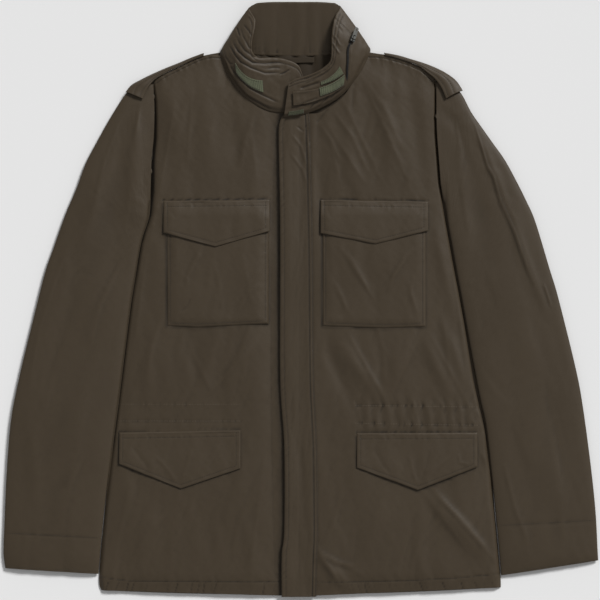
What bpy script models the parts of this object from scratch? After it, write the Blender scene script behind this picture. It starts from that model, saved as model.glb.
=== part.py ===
"""Field windbreaker laid flat on its back, its sleeves at its sides and its hood rolled in the collar.

Millimetres in the tables, metres in the scene; +Z is up and +Y runs towards the collar. The wearer's
right is -X. Every cloth piece is a sheet through sections, given its wall by Solidify; what lies on a
panel is made from the panel's own surface, moved out.
"""

import math
from collections import namedtuple

import bmesh
import bpy
from mathutils import Matrix, Vector

MM = 0.001

# Driving dimensions, mm
BACK_WALL = 2.5
FRONT_WALL = 2.2
SLEEVE_WALL = 2.6
COLLAR_WALL = 2.6
TRIM_WALL = 1.6
STRAP_WALL = 2.0
FACING_WALL = 1.2
SEAM = 0.3  # gap that sewn pieces keep
ARMHOLE_GAP = 0.85
ARMHOLE_REACH = 0.07  # the share of a sleeve's length that is drawn to the armhole
CROWN = 3.4  # how far a front rises off the back between its seams
PLACKET_LIFT = 6.0  # how far the storm placket's free edge stands off the front under it
SLEEVE_RISE = 10.5  # a sleeve's thickness, its two layers and the air between
POCKET_WALL = 2.2
POCKET_PLEAT = 0.6  # the folded bellows under a chest pocket's edges
POCKET_RISE = 1.6  # how much further its middle stands off
POCKET_RIM = 15.0
FLAP_SEW = 0.15  # the share of a flap's lift at its sewn top edge
CHEST_FLAP_LIFT, HIP_FLAP_LIFT = 1.6, 3.0
HEM_Y = -413.0

# How a front is held down: the share of its crown left at a seam, and how far from it the crown is full
SIDE_REACH = 16.0
HEM_HOLD, HEM_REACH = 0.35, 34.0
SHOULDER_HOLD, SHOULDER_REACH = 0.3, 40.0
CENTRE_REACH = 23.0
PLACKET_HALF = 8.0
BOW_FROM = 0.8  # the share of a front's height above which its shoulder bows

FRONT_REST = BACK_WALL + SEAM + FRONT_WALL  # top of a front where it lies on the back

Section = namedtuple("Section", "left_x left_y right_x right_y")
Ring = namedtuple("Ring", "outer_x outer_y inner_x inner_y rise")
Fold = namedtuple("Fold", "x1 y1 x2 y2 width height")
Patch = namedtuple("Patch", "left_x left_y right_x right_y drop_left tip_x tip drop_right")
Band = namedtuple("Band", "base_x base_y base_z top_x top_y top_z belly")
Point = namedtuple("Point", "x y")
ZipRow = namedtuple("ZipRow", "station t")
Strip = namedtuple("Strip", "edge_x edge_y edge_z crest_x crest_y crest_z out_x out_y out_z")

# From the hem up to the shoulder. Both fronts meet under the placket at x = 0.
FRONT_RIGHT = [
    Section(-278, -406, -0.3, -414),
    Section(-281, -385, -0.3, -385),
    Section(-273, -294, -0.3, -294),
    Section(-260, -188, -0.3, -188),
    Section(-248, -94, -0.3, -94),
    Section(-236, 0, -0.3, 0),
    Section(-223, 77, -0.3, 80),
    Section(-211, 119, -0.3, 150),
    Section(-209, 165, -0.3, 215),
    Section(-208, 196, -4, 261),
    Section(-205, 226, -44, 264),
    Section(-204, 252, -64, 275),
    Section(-204, 276, -84, 293),
    Section(-206, 296, -97, 314),
    Section(-207, 306, -106, 338.6),
]
FRONT_LEFT = [
    Section(0, -414, 281, -402),
    Section(0, -385, 280, -380),
    Section(0, -294, 272, -294),
    Section(0, -188, 261, -188),
    Section(0, -110, 244, -110),
    Section(0, -30, 231, -30),
    Section(0, 55, 215, 55),
    Section(0, 130, 203, 122),
    Section(0, 195, 197, 164),
    Section(0, 254, 194, 203),
    Section(29, 262, 191.5, 234),
    Section(57, 281, 191, 262),
    Section(78, 311, 191, 282),
    Section(86, 330, 191, 298),
    Section(92, 345, 191, 309),
]
BACK_NECK = [(-107, 343.5), (-98, 343), (-56, 343.8), (35, 344.6), (84, 347), (94, 345.5)]

# The shoulder edges of the fronts and the back, which bow up under the straps.
SHOULDER_RIGHT = [
    Point(-207, 306),
    Point(-200.8, 309.6),
    Point(-192.8, 314.6),
    Point(-178.8, 321.2),
    Point(-164.8, 328.2),
    Point(-150.8, 335.2),
    Point(-137, 341.4),
    Point(-124.7, 344),
    Point(-113, 341.4),
    Point(-106, 338.6),
]
SHOULDER_LEFT = [
    Point(92, 345),
    Point(106.8, 344.5),
    Point(117, 343.2),
    Point(136.8, 338.1),
    Point(152.7, 333),
    Point(166.7, 326.8),
    Point(175.5, 320),
    Point(184.8, 312.4),
    Point(191, 309),
]

# Sleeve rings from the armhole to the cuff.
SLEEVE_RIGHT = [
    Ring(-208.2, 301.4, -211.5, 140, 0.85),
    Ring(-225, 300.6, -212, 132, 0.9),
    Ring(-242, 290, -212.5, 123, 0.95),
    Ring(-263, 258, -213.7, 113, 1),
    Ring(-280, 228, -216.3, 104, 1),
    Ring(-299, 192, -219.4, 93, 1),
    Ring(-312, 157, -223.4, 79, 1),
    Ring(-328, 119, -226.7, 61, 1),
    Ring(-345, 71, -232.3, 28, 1),
    Ring(-357, 36, -236.7, 2, 1),
    Ring(-376, -40, -244.1, -56, 1),
    Ring(-392, -106, -252.7, -123, 1),
    Ring(-404, -168, -260.2, -182, 1),
    Ring(-410, -241, -268.8, -252, 0.95),
    Ring(-413, -308, -275.9, -316, 0.9),
    Ring(-414.5, -353, -279.8, -360, 0.85),
    Ring(-412, -375, -281.8, -383, 0.7),
]
SLEEVE_LEFT = [
    Ring(193, 304.5, 201, 143, 0.85),
    Ring(209, 303.5, 202.6, 133, 0.9),
    Ring(225, 289, 204.5, 121, 0.95),
    Ring(239, 263, 206.3, 109, 1),
    Ring(252, 244, 209, 94, 1),
    Ring(269, 220, 212.1, 77, 1),
    Ring(286, 196, 215.5, 58, 1),
    Ring(302, 167, 219, 39, 1),
    Ring(316, 139, 223, 18, 1),
    Ring(329, 109, 227.1, -4, 1),
    Ring(349, 43, 235.1, -49, 1),
    Ring(361, 3, 240.9, -81, 1),
    Ring(385, -94, 251.5, -137, 1),
    Ring(395, -147, 259.8, -175, 1),
    Ring(406, -228, 266.8, -234, 0.95),
    Ring(413, -294, 273.7, -301, 0.9),
    Ring(416, -349, 279.1, -360, 0.85),
    Ring(417, -364, 281.2, -385, 0.7),
]

# Folds: a soft ridge, or a trough where the height is negative, along a line.
FOLDS_RIGHT = [
    Fold(-214, 96, -196, 190, 9, 2.6),
    Fold(-236, -10, -206, 130, 8, 2.2),
    Fold(-180, 292, -168, 205, 16, 1.8),
    Fold(-130, 305, -128, 190, 13, 1.6),
    Fold(-88, 262, -92, 180, 12, -1.6),
    Fold(-60, -46, -108, -140, 9, 2.0),
    Fold(-112, -30, -140, -130, 10, 1.6),
    Fold(-206, -46, -214, -140, 10, 1.8),
    Fold(-70, -214, -112, -330, 13, 1.6),
    Fold(-200, -280, -222, -370, 12, 1.4),
    Fold(-34, 240, -31, -400, 13, -1.6),
]
FOLDS_LEFT = [
    Fold(104, 334, 136, 170, 12, 2.2),
    Fold(76, 292, 66, 160, 13, 1.8),
    Fold(150, 322, 172, 160, 12, -1.8),
    Fold(24, 250, 40, 40, 10, -1.4),
    Fold(54, -56, 112, -138, 11, 2.2),
    Fold(158, -48, 118, -136, 11, 2.0),
    Fold(172, -52, 214, -140, 10, 1.8),
    Fold(36, -60, 74, -150, 9, -1.6),
    Fold(206, -40, 236, -126, 9, 1.8),
    Fold(178, -268, 262, -362, 11, 2.4),
    Fold(120, -276, 84, -366, 14, 1.6),
    Fold(24, -352, 74, -408, 9, 1.8),
    Fold(192, 100, 222, -30, 9, 2.0),
]
FOLDS_SLEEVE_RIGHT = [
    Fold(-222, 270, -238, 120, 12, 1.8),
    Fold(-262, 214, -318, 40, 14, 1.8),
    Fold(-300, 60, -352, -120, 13, -1.5),
    Fold(-286, -90, -340, -240, 14, 1.5),
    Fold(-380, -150, -362, -300, 13, 1.3),
]
FOLDS_SLEEVE_LEFT = [
    Fold(240, 258, 286, 140, 6, 2.4),
    Fold(286, 140, 345, -20, 6, 2.4),
    Fold(218, 246, 262, 60, 13, -1.4),
    Fold(286, 60, 330, -110, 14, 1.4),
    Fold(312, -150, 372, -300, 14, 1.6),
]

# Waist drawcord channel, gathered on the wearer's left.
GATHER_TOP_Y = -146.0
GATHER_FOOT_Y = -176.0
GATHER_FROM_X = 78.0
GATHER_TO_X = 250.0
GATHERS = 11
GATHER_HEIGHT = 1.3

# Pockets and flaps: the top edge, then how far each side and the pointed tip hang below it.
CHEST_FLAP_RIGHT = Patch(-191, 138.5, -42, 140, 45, 0.49, 65, 44)
CHEST_FLAP_LEFT = Patch(28.5, 140, 179, 137.5, 47, 0.51, 61, 41)
HIP_FLAP_RIGHT = Patch(-253, -185, -83, -182, 44, 0.51, 80, 53)
HIP_FLAP_LEFT = Patch(79, -186, 248, -185, 48, 0.505, 80, 48)
CHEST_POCKET_RIGHT = Patch(-186, 118, -43.5, 118, 155, 0.3, 157, 152)
CHEST_POCKET_LEFT = Patch(31, 118, 176, 118, 155, 0.6, 158, 156)

# The placket, from its top at the collar to the hem; its free edge is the left one here.
PLACKET = [
    Section(-23.5, 249, 12.5, 254),
    Section(-29.5, 240, 14, 241),
    Section(-30, 218, 14.7, 218),
    Section(-28.5, 140, 16.8, 140),
    Section(-28, 56, 18.2, 56),
    Section(-28, -112, 19.6, -112),
    Section(-22.5, -204, 23.8, -204),
    Section(-22.5, -320, 25.2, -320),
    Section(-26, -356, 24, -356),
    Section(-26, -414.5, 22.5, -414.5),
]

# The collar band from the wearer's right front end, round the back of the neck, to the left end.
COLLAR = [
    Band(1, 260, 8.2, 4, 313, 10.6, 0.3),
    Band(-14, 261, 8.0, -3, 328, 11.2, 0.6),
    Band(-34, 262, 8.3, -22, 336, 12.6, 1.2),
    Band(-54, 267.5, 9.5, -42, 337.5, 15, 2.5),
    Band(-75, 281.5, 10.2, -58, 337.5, 18.5, 3.5),
    Band(-89, 296.5, 10.2, -66, 345, 21.5, 4),
    Band(-99, 312, 9.7, -66.5, 358, 23, 4),
    Band(-105.5, 325.5, 8.8, -63.5, 374, 22.5, 4),
    Band(-109.8, 336, 8.2, -62.5, 389, 18.5, 3.5),
    Band(-112, 344.5, 6.4, -70, 406, 10, 1.5),
    Band(-106, 348, 3.4, -64.5, 412, 3.8, 0.3),
    Band(-90, 347, 1.7, -56, 414.5, 1.8, 0),
    Band(-56, 345.2, 1.5, -35, 415.5, 1.5, 0),
    Band(-8, 344.8, 1.5, -4, 416, 1.5, 0),
    Band(35, 346.2, 1.5, 25, 415.5, 1.5, 0),
    Band(73, 349.5, 1.7, 43, 414.5, 1.8, 0),
    Band(92, 353, 3.4, 50, 413.5, 3.8, 0.3),
    Band(98, 349, 6.4, 55, 408, 10, 1.5),
    Band(96, 341, 8.4, 49, 395, 18.5, 3.5),
    Band(91.5, 331, 9.0, 45, 378, 23, 4),
    Band(86, 320.5, 9.8, 43.5, 361, 23.5, 4),
    Band(79, 309.5, 10.4, 43.5, 343, 23, 4),
    Band(68, 295.5, 10.6, 41, 331, 21.5, 3.5),
    Band(51, 280, 10.5, 30, 321, 20, 2.5),
    Band(25, 266, 11.6, 11, 313, 18.5, 2),
    Band(0, 257.2, 13.6, -6, 308, 17.8, 1.5),
    Band(-23, 254, 14.4, -16, 302.5, 17.4, 0.8),
]
COLLAR_ENDS_AT = len(COLLAR) - 1

# Epaulettes, from the neck end to the sleeve head: front edge, crest and the edge rolled under.
EPAULETTE_RIGHT = [
    Strip(-134.5, 341.2, 9.0, -134.8, 343.6, 8.8, -134.5, 345.2, 6.6),
    Strip(-150.8, 334.5, 8.9, -151.5, 337.2, 9.3, -151.8, 339.2, 4.6),
    Strip(-167, 326.5, 8.7, -168.2, 329.6, 9.6, -169.2, 332, 3.6),
    Strip(-185, 317.8, 8.8, -187, 321.6, 10.2, -188.5, 324.4, 3.2),
    Strip(-201, 308.8, 10.2, -205.5, 313.5, 11.8, -208.5, 315.5, 3.6),
    Strip(-209.5, 299.5, 11.6, -217, 307, 13.4, -222, 308.5, 5.5),
    Strip(-215.5, 289.5, 12.2, -229, 298.6, 14.6, -235.8, 300.6, 6.5),
    Strip(-219, 280.5, 12.6, -233, 286.5, 15.2, -243.5, 290.8, 9.6),
]
EPAULETTE_LEFT = [
    Strip(118.5, 342.2, 8.9, 118.3, 344, 8.7, 117.5, 345.6, 6.8),
    Strip(136.8, 337.4, 8.8, 137.4, 340, 9.2, 137.4, 342.2, 4.6),
    Strip(153, 332.2, 8.7, 154.5, 335, 9.6, 154.8, 337.2, 3.6),
    Strip(167.5, 325.6, 9.0, 171, 329.4, 10.2, 173, 331.6, 3.4),
    Strip(178, 317, 9.8, 185.5, 323.2, 11.6, 190, 325, 3.6),
    Strip(188, 308.4, 10.8, 199.5, 316.4, 13.0, 205.5, 316.6, 5.5),
    Strip(197, 295.8, 11.9, 210.5, 305, 14.2, 219, 306, 7.0),
    Strip(203.4, 280.6, 12.4, 215.5, 288.5, 15.2, 227.5, 292.5, 9.4),
]

NECK_CENTRE, NECK_WIDE = -18.0, 132.0
NECK_LOW, NECK_HIGH = 278.0, 341.5
NECK_HELD = 6.0
FACING_FOLD = 0.8
LOOP_FROM, LOOP_TO = -54.0, 20.0
LOOP_DROP, LOOP_WIDE, LOOP_BOW = 9.5, 7.5, 1.0
TAB_LIFT = 2.0  # the throat tab clears the pad below it
PAD_WALL = 1.0
PAD_LIFT = 0.45  # over a curved surface, so that its flat faces stay clear
ZIP_WIDE = 5.0
ZIP_RUN = [ZipRow(17.4, 0.47), ZipRow(18.6, 0.48), ZipRow(19.6, 0.43), ZipRow(20.6, 0.36), ZipRow(21.4, 0.27)]

CLOTH = (0.058, 0.045, 0.032)
LINING = (0.036, 0.029, 0.021)
FASTENER_GREEN = (0.083, 0.098, 0.058)
METAL = (0.42, 0.41, 0.39)
ZIP_TAPE = (0.012, 0.011, 0.01)


def clear_scene():
    for thing in list(bpy.data.objects):
        bpy.data.objects.remove(thing, do_unlink=True)


def collection_for(name):
    found = bpy.data.collections.new(name)
    bpy.context.scene.collection.children.link(found)
    return found


def finish_of(name, colour, roughness, metallic=0.0):
    material = bpy.data.materials.new(name)
    material.use_nodes = True
    shader = material.node_tree.nodes["Principled BSDF"]
    shader.inputs["Base Color"].default_value = (*colour, 1.0)
    shader.inputs["Roughness"].default_value = roughness
    shader.inputs["Metallic"].default_value = metallic
    return material


def eased(t):
    t = min(1.0, max(0.0, t))
    return t * t * (3.0 - 2.0 * t)


def read_table(rows, at):
    """All columns of a table at a place between its rows, on a smooth curve through them."""
    last = len(rows) - 1
    step = min(max(int(at), 0), last - 1)
    t = at - step
    before, start, end, after = (rows[min(max(step + k, 0), last)] for k in (-1, 0, 1, 2))
    return [
        0.5 * (2 * b + (c - a) * t + (2 * a - 5 * b + 4 * c - d) * t * t + (3 * b - a - 3 * c + d) * t**3)
        for a, b, c, d in zip(before, start, end, after)
    ]


def fold_height(x, y, folds):
    total = 0.0
    for fold in folds:
        run = Vector((fold.x2 - fold.x1, fold.y2 - fold.y1))
        to_point = Vector((x - fold.x1, y - fold.y1))
        along = min(1.0, max(0.0, to_point.dot(run) / run.length_squared))
        away = (to_point - run * along).length
        fade = 0.25 + 0.75 * math.sin(math.pi * along)
        total += fold.height * fade * math.exp(-((away / fold.width) ** 2))
    return total


def gathers(x, y):
    """Ripples of the cloth drawn up by the waist cord."""
    across = (x - GATHER_FROM_X) / (GATHER_TO_X - GATHER_FROM_X)
    if not 0.0 < across < 1.0:
        return 0.0
    middle = (GATHER_TOP_Y + GATHER_FOOT_Y) / 2
    reach = (GATHER_TOP_Y - GATHER_FOOT_Y) / 2
    fade = math.exp(-(((y - middle) / (reach * 1.6)) ** 4)) * math.sin(math.pi * across) ** 0.5
    return GATHER_HEIGHT * fade * math.sin(2 * math.pi * GATHERS * across)


def side_of(rows, y, right_side):
    """Where a front's outer edge stands at a height, read straight between its sections."""
    points = [(row.right_x, row.right_y) if right_side else (row.left_x, row.left_y) for row in rows]
    for (x1, y1), (x2, y2) in zip(points, points[1:]):
        if y <= y2:
            return x1 + (x2 - x1) * max(0.0, (y - y1) / (y2 - y1))
    return points[-1][0]


def below_shoulder(x, y, rows):
    """How far a point lies below the straight line between the ends of the shoulder seam."""
    last = rows[-1]
    start, end = Vector((last.left_x, last.left_y)), Vector((last.right_x, last.right_y))
    return max(0.0, (Vector((x, y)) - start).cross((end - start).normalized()))


def shoulder_bow(x, points):
    """How far the shoulder's edge stands above the straight line between its ends."""
    first, last = points[0], points[-1]
    straight = first.y + (last.y - first.y) * (x - first.x) / (last.x - first.x)
    for start, end in zip(points, points[1:]):
        if start.x <= x <= end.x:
            return start.y + (end.y - start.y) * (x - start.x) / (end.x - start.x) - straight
    return 0.0


def front_top(x, y, wearers_left):
    """Height of a front's outer face: low at the seams that hold it down, crowned and folded between."""
    rows = FRONT_LEFT if wearers_left else FRONT_RIGHT
    edge = side_of(rows, y, wearers_left)
    inward = max(0.0, (edge - x) if wearers_left else (x - edge))
    from_centre = abs(x)
    free = 1.0 - math.exp(-inward / SIDE_REACH)
    free *= HEM_HOLD + (1.0 - HEM_HOLD) * eased((y - HEM_Y) / HEM_REACH)
    free *= SHOULDER_HOLD + (1.0 - SHOULDER_HOLD) * eased(below_shoulder(x, y, rows) / SHOULDER_REACH)
    if wearers_left:
        free *= HEM_HOLD + (1.0 - HEM_HOLD) * eased(from_centre / CENTRE_REACH)
        moved = fold_height(x, y, FOLDS_LEFT) + gathers(x, y)
    else:
        free *= eased((from_centre - CENTRE_REACH) / (2 * CENTRE_REACH))
        moved = fold_height(x, y, FOLDS_RIGHT)
    moved *= eased(inward / CENTRE_REACH) * eased((from_centre - PLACKET_HALF) / CENTRE_REACH)
    return FRONT_REST + max(0.0, CROWN * free + moved)


def highest_near(surface, x, y, reach):
    """The surface's greatest height within reach, so that a piece laid on it stays clear of it."""
    around = [(0.0, 0.0), (reach, 0.0), (-reach, 0.0), (0.0, reach), (0.0, -reach)]
    return max(surface(x + dx, y + dy) for dx, dy in around)


def link(name, mesh, material, folder):
    thing = bpy.data.objects.new(name, mesh)
    mesh.materials.append(material)
    folder.objects.link(thing)
    return thing


def add_wall(thing, wall, side=-1.0):
    solidify = thing.modifiers.new("Wall", "SOLIDIFY")
    solidify.thickness = wall * MM
    solidify.offset = side
    solidify.use_even_offset = True
    return solidify


def thin_out(thing, share):
    """Fewer faces where the cloth is plain, and the rest kept for its folds."""
    if share < 1.0:
        decimate = thing.modifiers.new("Thin", "DECIMATE")
        decimate.ratio = share


def sheet(name, place, across, along, wall, material, folder, share=1.0, side=-1.0):
    """A cloth sheet: a grid laid by place(u, v), then thinned and given its wall."""
    work = bmesh.new()
    bmesh.ops.create_grid(work, x_segments=across, y_segments=along, size=0.5)
    for vert in work.verts:
        vert.co = Vector(place(vert.co.x + 0.5, vert.co.y + 0.5)) * MM
    mesh = bpy.data.meshes.new(name)
    work.to_mesh(mesh)
    work.free()
    thing = link(name, mesh, material, folder)
    thin_out(thing, share)
    add_wall(thing, wall, side)
    return thing


def tube(name, place, around, along, wall, material, folder, share=1.0):
    """A cloth tube open at both ends: a grid whose two long edges meet."""
    work = bmesh.new()
    bmesh.ops.create_grid(work, x_segments=around, y_segments=along, size=0.5)
    for vert in work.verts:
        vert.co = Vector(place((vert.co.x + 0.5) % 1.0, vert.co.y + 0.5)) * MM
    bmesh.ops.remove_doubles(work, verts=work.verts, dist=0.01 * MM)
    bmesh.ops.recalc_face_normals(work, faces=work.faces)
    mesh = bpy.data.meshes.new(name)
    work.to_mesh(mesh)
    work.free()
    thing = link(name, mesh, material, folder)
    thin_out(thing, share)
    add_wall(thing, wall)
    return thing


def make_back(material, folder):
    """The back is plain and flat: its outline is that of both fronts, closed at the neck."""
    outline = [(row.left_x, row.left_y) for row in FRONT_RIGHT]
    outline += [*SHOULDER_RIGHT[1:-1], *BACK_NECK, *SHOULDER_LEFT[1:-1]]
    outline += [(row.right_x, row.right_y) for row in reversed(FRONT_LEFT)]
    outline += [(0.0, HEM_Y)]
    curve = bpy.data.curves.new("back", "CURVE")
    curve.dimensions = "2D"
    curve.fill_mode = "BOTH"
    curve.extrude = BACK_WALL / 2 * MM
    spline = curve.splines.new("POLY")
    spline.points.add(len(outline) - 1)
    for point, (x, y) in zip(spline.points, outline):
        point.co = (x * MM, y * MM, 0.0, 1.0)
    spline.use_cyclic_u = True
    thing = bpy.data.objects.new("back", curve)
    thing.location.z = BACK_WALL / 2 * MM
    curve.materials.append(material)
    folder.objects.link(thing)


def make_front(name, rows, wearers_left, material, folder):
    def place(u, v):
        left_x, left_y, right_x, right_y = read_table(rows, v * (len(rows) - 1))
        if wearers_left:
            left_x = max(left_x, 0.0)
        else:
            right_x = min(right_x, -SEAM)
        x = left_x + (right_x - left_x) * u
        y = left_y + (right_y - left_y) * u
        shoulder = SHOULDER_LEFT if wearers_left else SHOULDER_RIGHT
        y += shoulder_bow(x, shoulder) * eased((v - BOW_FROM) / (1.0 - BOW_FROM))
        return x, y, front_top(x, y, wearers_left)

    sheet(name, place, 62, 96, FRONT_WALL, material, folder, share=0.108)


def make_sleeve(name, rings, rows, wearers_left, folds, material, folder):
    """A sleeve lies flat: its underside on the table, its edges rounded, its top crowned and creased. Its
    first ring follows the armhole, and no ring comes nearer to the body than the seam's gap."""
    edge = 0.5 * SLEEVE_RISE
    outwards = 1.0 if wearers_left else -1.0

    def place(a, v):
        outer_x, outer_y, inner_x, inner_y, rise = read_table(rings, v * (len(rings) - 1))
        angle = 2 * math.pi * a
        wide = math.copysign(abs(math.cos(angle)) ** 0.45, math.cos(angle))
        high = math.copysign(abs(math.sin(angle)) ** 0.75, math.sin(angle))
        x = (outer_x + inner_x) / 2 + (outer_x - inner_x) / 2 * wide
        y = (outer_y + inner_y) / 2 + (outer_y - inner_y) / 2 * wide
        armhole = side_of(rows, y, wearers_left) + outwards * ARMHOLE_GAP
        sewn = 1.0 - eased(v / ARMHOLE_REACH)
        x += (armhole - x) * sewn
        x = outwards * max(outwards * x, outwards * armhole)
        z = edge * rise * (1.0 + high)
        if high > 0.0:
            z += fold_height(x, y, folds) * high * (1.0 - abs(wide) ** 6)
        return x, y, max(0.0, z)

    tube(name, place, 44, 76, SLEEVE_WALL, material, folder, share=0.16)


def collar_rule(station):
    """The straight line of the band at a station, from its neck seam to its top edge, and its belly."""
    base_x, base_y, base_z, top_x, top_y, top_z, belly = read_table(COLLAR, station)
    return Vector((base_x, base_y, base_z)), Vector((top_x, top_y, top_z)), belly


def collar_point(station, t):
    """A point of the collar band: station counts the table's rows, t runs from the neck seam to the top."""
    base, top, belly = collar_rule(station)
    low_before, top_before, _ = collar_rule(station - 0.05)
    low_after, top_after, _ = collar_rule(station + 0.05)
    out = (top - base).cross(low_after + top_after - low_before - top_before).normalized()
    return base.lerp(top, t) + out * (4.0 * t * (1.0 - t) * belly)


def collar_frame(station, t):
    """The band's surface at a point: the way along it and outwards."""
    here = collar_point(station, t)
    along = (collar_point(station + 0.05, t) - collar_point(station - 0.05, t)).normalized()
    up = (collar_point(station, t + 0.02) - collar_point(station, t - 0.02)).normalized()
    return here, along, up.cross(along).normalized()


def make_collar(material, folder):
    def place(u, v):
        return collar_point(u * COLLAR_ENDS_AT, v)

    sheet("collar", place, 104, 8, COLLAR_WALL, material, folder, share=0.42, side=0.0)


def collar_sheet(name, corners, lift, wall, across, along, material, folder):
    """A piece on the collar. Its corners are (station, t), from the lower left one round by the lower right."""
    low_left, low_right, high_right, high_left = (Vector(c) for c in corners)

    def place(u, v):
        low = low_left.lerp(low_right, u)
        high = high_left.lerp(high_right, u)
        station, t = low.lerp(high, v)
        here, _, out = collar_frame(station, t)
        return here + out * (COLLAR_WALL / 2 + lift)

    return sheet(name, place, across, along, wall, material, folder, side=1.0)


def make_placket(material, folder):
    """The storm placket: sewn down along one edge, its free edge standing off the front below it."""

    def place(u, v):
        left_x, left_y, right_x, right_y = read_table(PLACKET, (1.0 - v) * (len(PLACKET) - 1))
        x = left_x + (right_x - left_x) * u
        y = left_y + (right_y - left_y) * u
        under = highest_near(lambda px, py: front_top(px, py, px > 0.0), x, y, 4.0)
        return x, y, under + SEAM + PLACKET_LIFT * (1.0 - eased(u))

    sheet("placket", place, 6, 60, FRONT_WALL, material, folder, share=0.5, side=1.0)


def patch_outline(patch, u, v):
    """A point of a pocket or flap: v runs from its lower edge up to its top edge."""
    left, right = Vector((patch.left_x, patch.left_y)), Vector((patch.right_x, patch.right_y))
    top = left.lerp(right, u)
    if u <= patch.tip_x:
        drop = patch.drop_left + (patch.tip - patch.drop_left) * u / patch.tip_x
    else:
        drop = patch.drop_right + (patch.tip - patch.drop_right) * (1 - u) / (1 - patch.tip_x)
    return top.x, top.y - drop * (1.0 - v)


def pocket_top(x, y, patch, wearers_left):
    """Height of a chest pocket's outer face: the panel below it, moved out and swollen by its bellows."""
    panel = highest_near(lambda px, py: front_top(px, py, wearers_left), x, y, 5.0)
    across = (x - patch.left_x) / (patch.right_x - patch.left_x)
    down = (patch.left_y - y) / patch.tip
    rim = min(across, 1.0 - across) * (patch.right_x - patch.left_x)
    foot = (1.0 - down) * patch.tip
    swell = eased(rim / POCKET_RIM) * eased(foot / POCKET_RIM)
    return panel + SEAM + POCKET_WALL + POCKET_PLEAT + POCKET_RISE * swell


def make_chest_pocket(name, patch, wearers_left, material, folder):
    def place(u, v):
        x, y = patch_outline(patch, u, v)
        return x, y, pocket_top(x, y, patch, wearers_left)

    sheet(name, place, 11, 12, POCKET_WALL, material, folder, share=0.7)


def flap_top(surface, lift, x, y, v):
    free = FLAP_SEW + (1.0 - FLAP_SEW) * eased(1.0 - v)
    return highest_near(surface, x, y, 5.0) + SEAM + TRIM_WALL + lift * free


def make_flap(name, patch, surface, lift, material, folder):
    def place(u, v):
        x, y = patch_outline(patch, u, v)
        return x, y, flap_top(surface, lift, x, y, v)

    sheet(name, place, 12, 7, TRIM_WALL, material, folder, share=0.7)


def make_epaulette(name, rows, material, folder):
    """A strap that starts at the neck, widens to the sleeve head and rolls over the shoulder."""

    def place(u, v):
        columns = read_table(rows, u * (len(rows) - 1))
        edge, crest, rolled = (Vector(columns[k : k + 3]) for k in (0, 3, 6))
        first, second = edge.lerp(crest, v), crest.lerp(rolled, v)
        return first.lerp(second, v)

    towards_right = rows[-1].edge_x < rows[0].edge_x
    sheet(name, place, 14, 6, STRAP_WALL, material, folder, side=1.0 if towards_right else -1.0)


def make_neck(cloth, lining, folder):
    """What shows down the neck: the facing on the back's inner side, and the hanger loop over it."""
    facing_z = BACK_WALL + SEAM + TRIM_WALL
    loop_z = facing_z + 2 * FACING_FOLD + SEAM + FACING_WALL

    def facing(u, v):
        wide = NECK_WIDE * (0.83 + 0.17 * v)
        x = NECK_CENTRE + wide * (u - 0.5)
        y = NECK_LOW + (NECK_HIGH - NECK_LOW) * v
        held = eased(NECK_HELD * u) * eased(NECK_HELD * (1.0 - u))
        return x, y, facing_z + FACING_FOLD * (1.0 + math.sin(x / 5.2 + 0.6 * v) * held)

    def loop(u, v):
        x = LOOP_FROM + (LOOP_TO - LOOP_FROM) * u
        return x, NECK_HIGH - LOOP_DROP + LOOP_WIDE * v, loop_z + LOOP_BOW * math.sin(math.pi * u)

    sheet("neck_facing", facing, 20, 4, TRIM_WALL, lining, folder, share=0.8)
    sheet("hanger_loop", loop, 10, 2, FACING_WALL, cloth, folder)


def make_tab(cloth, green, folder):
    """The throat tab on the wearer's left, laid back along the collar over the pad that it fastens to."""
    pads = (
        ("collar_pad_right", 0.0, [(5.75, 0.08), (3.4, 0.10), (3.35, 0.42), (5.9, 0.42)]),
        ("collar_pad_left", 0.0, [(23.8, 0.42), (22.0, 0.30), (21.45, 0.58), (23.5, 0.72)]),
        ("placket_pad", 0.0, [(25.65, 0.05), (24.8, 0.04), (24.75, 0.15), (25.6, 0.16)]),
        ("tab_hook_pad", TAB_LIFT + TRIM_WALL, [(23.7, 0.36), (22.1, 0.24), (21.75, 0.36), (23.5, 0.55)]),
    )
    for name, lift, corners in pads:
        collar_sheet(name, corners, lift + PAD_LIFT, PAD_WALL, 8, 3, green, folder)
    tab = [(25.35, 0.30), (21.95, 0.18), (21.6, 0.39), (25.35, 0.68)]
    collar_sheet("collar_tab", tab, TAB_LIFT, TRIM_WALL, 14, 4, cloth, folder)


def make_hood_zip(tape, folder):
    """The tape of the zip that closes the hood's pouch, round the outside of the collar."""

    def place(u, v):
        station, t = read_table(ZIP_RUN, v * (len(ZIP_RUN) - 1))
        here, along, out = collar_frame(station, t)
        side = out.cross(along)
        return here + side * ((0.5 - u) * ZIP_WIDE) + out * (COLLAR_WALL / 2 + PAD_LIFT)

    sheet("hood_zip", place, 2, 14, PAD_WALL, tape, folder, side=1.0)


def box_piece(name, size, bevel, material, folder):
    work = bmesh.new()
    bmesh.ops.create_cube(work, size=1.0)
    bmesh.ops.scale(work, vec=Vector(size) * MM, verts=work.verts)
    mesh = bpy.data.meshes.new(name)
    work.to_mesh(mesh)
    work.free()
    thing = link(name, mesh, material, folder)
    rounding = thing.modifiers.new("Round", "BEVEL")
    rounding.width = bevel * MM
    rounding.segments = 1
    return thing


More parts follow.
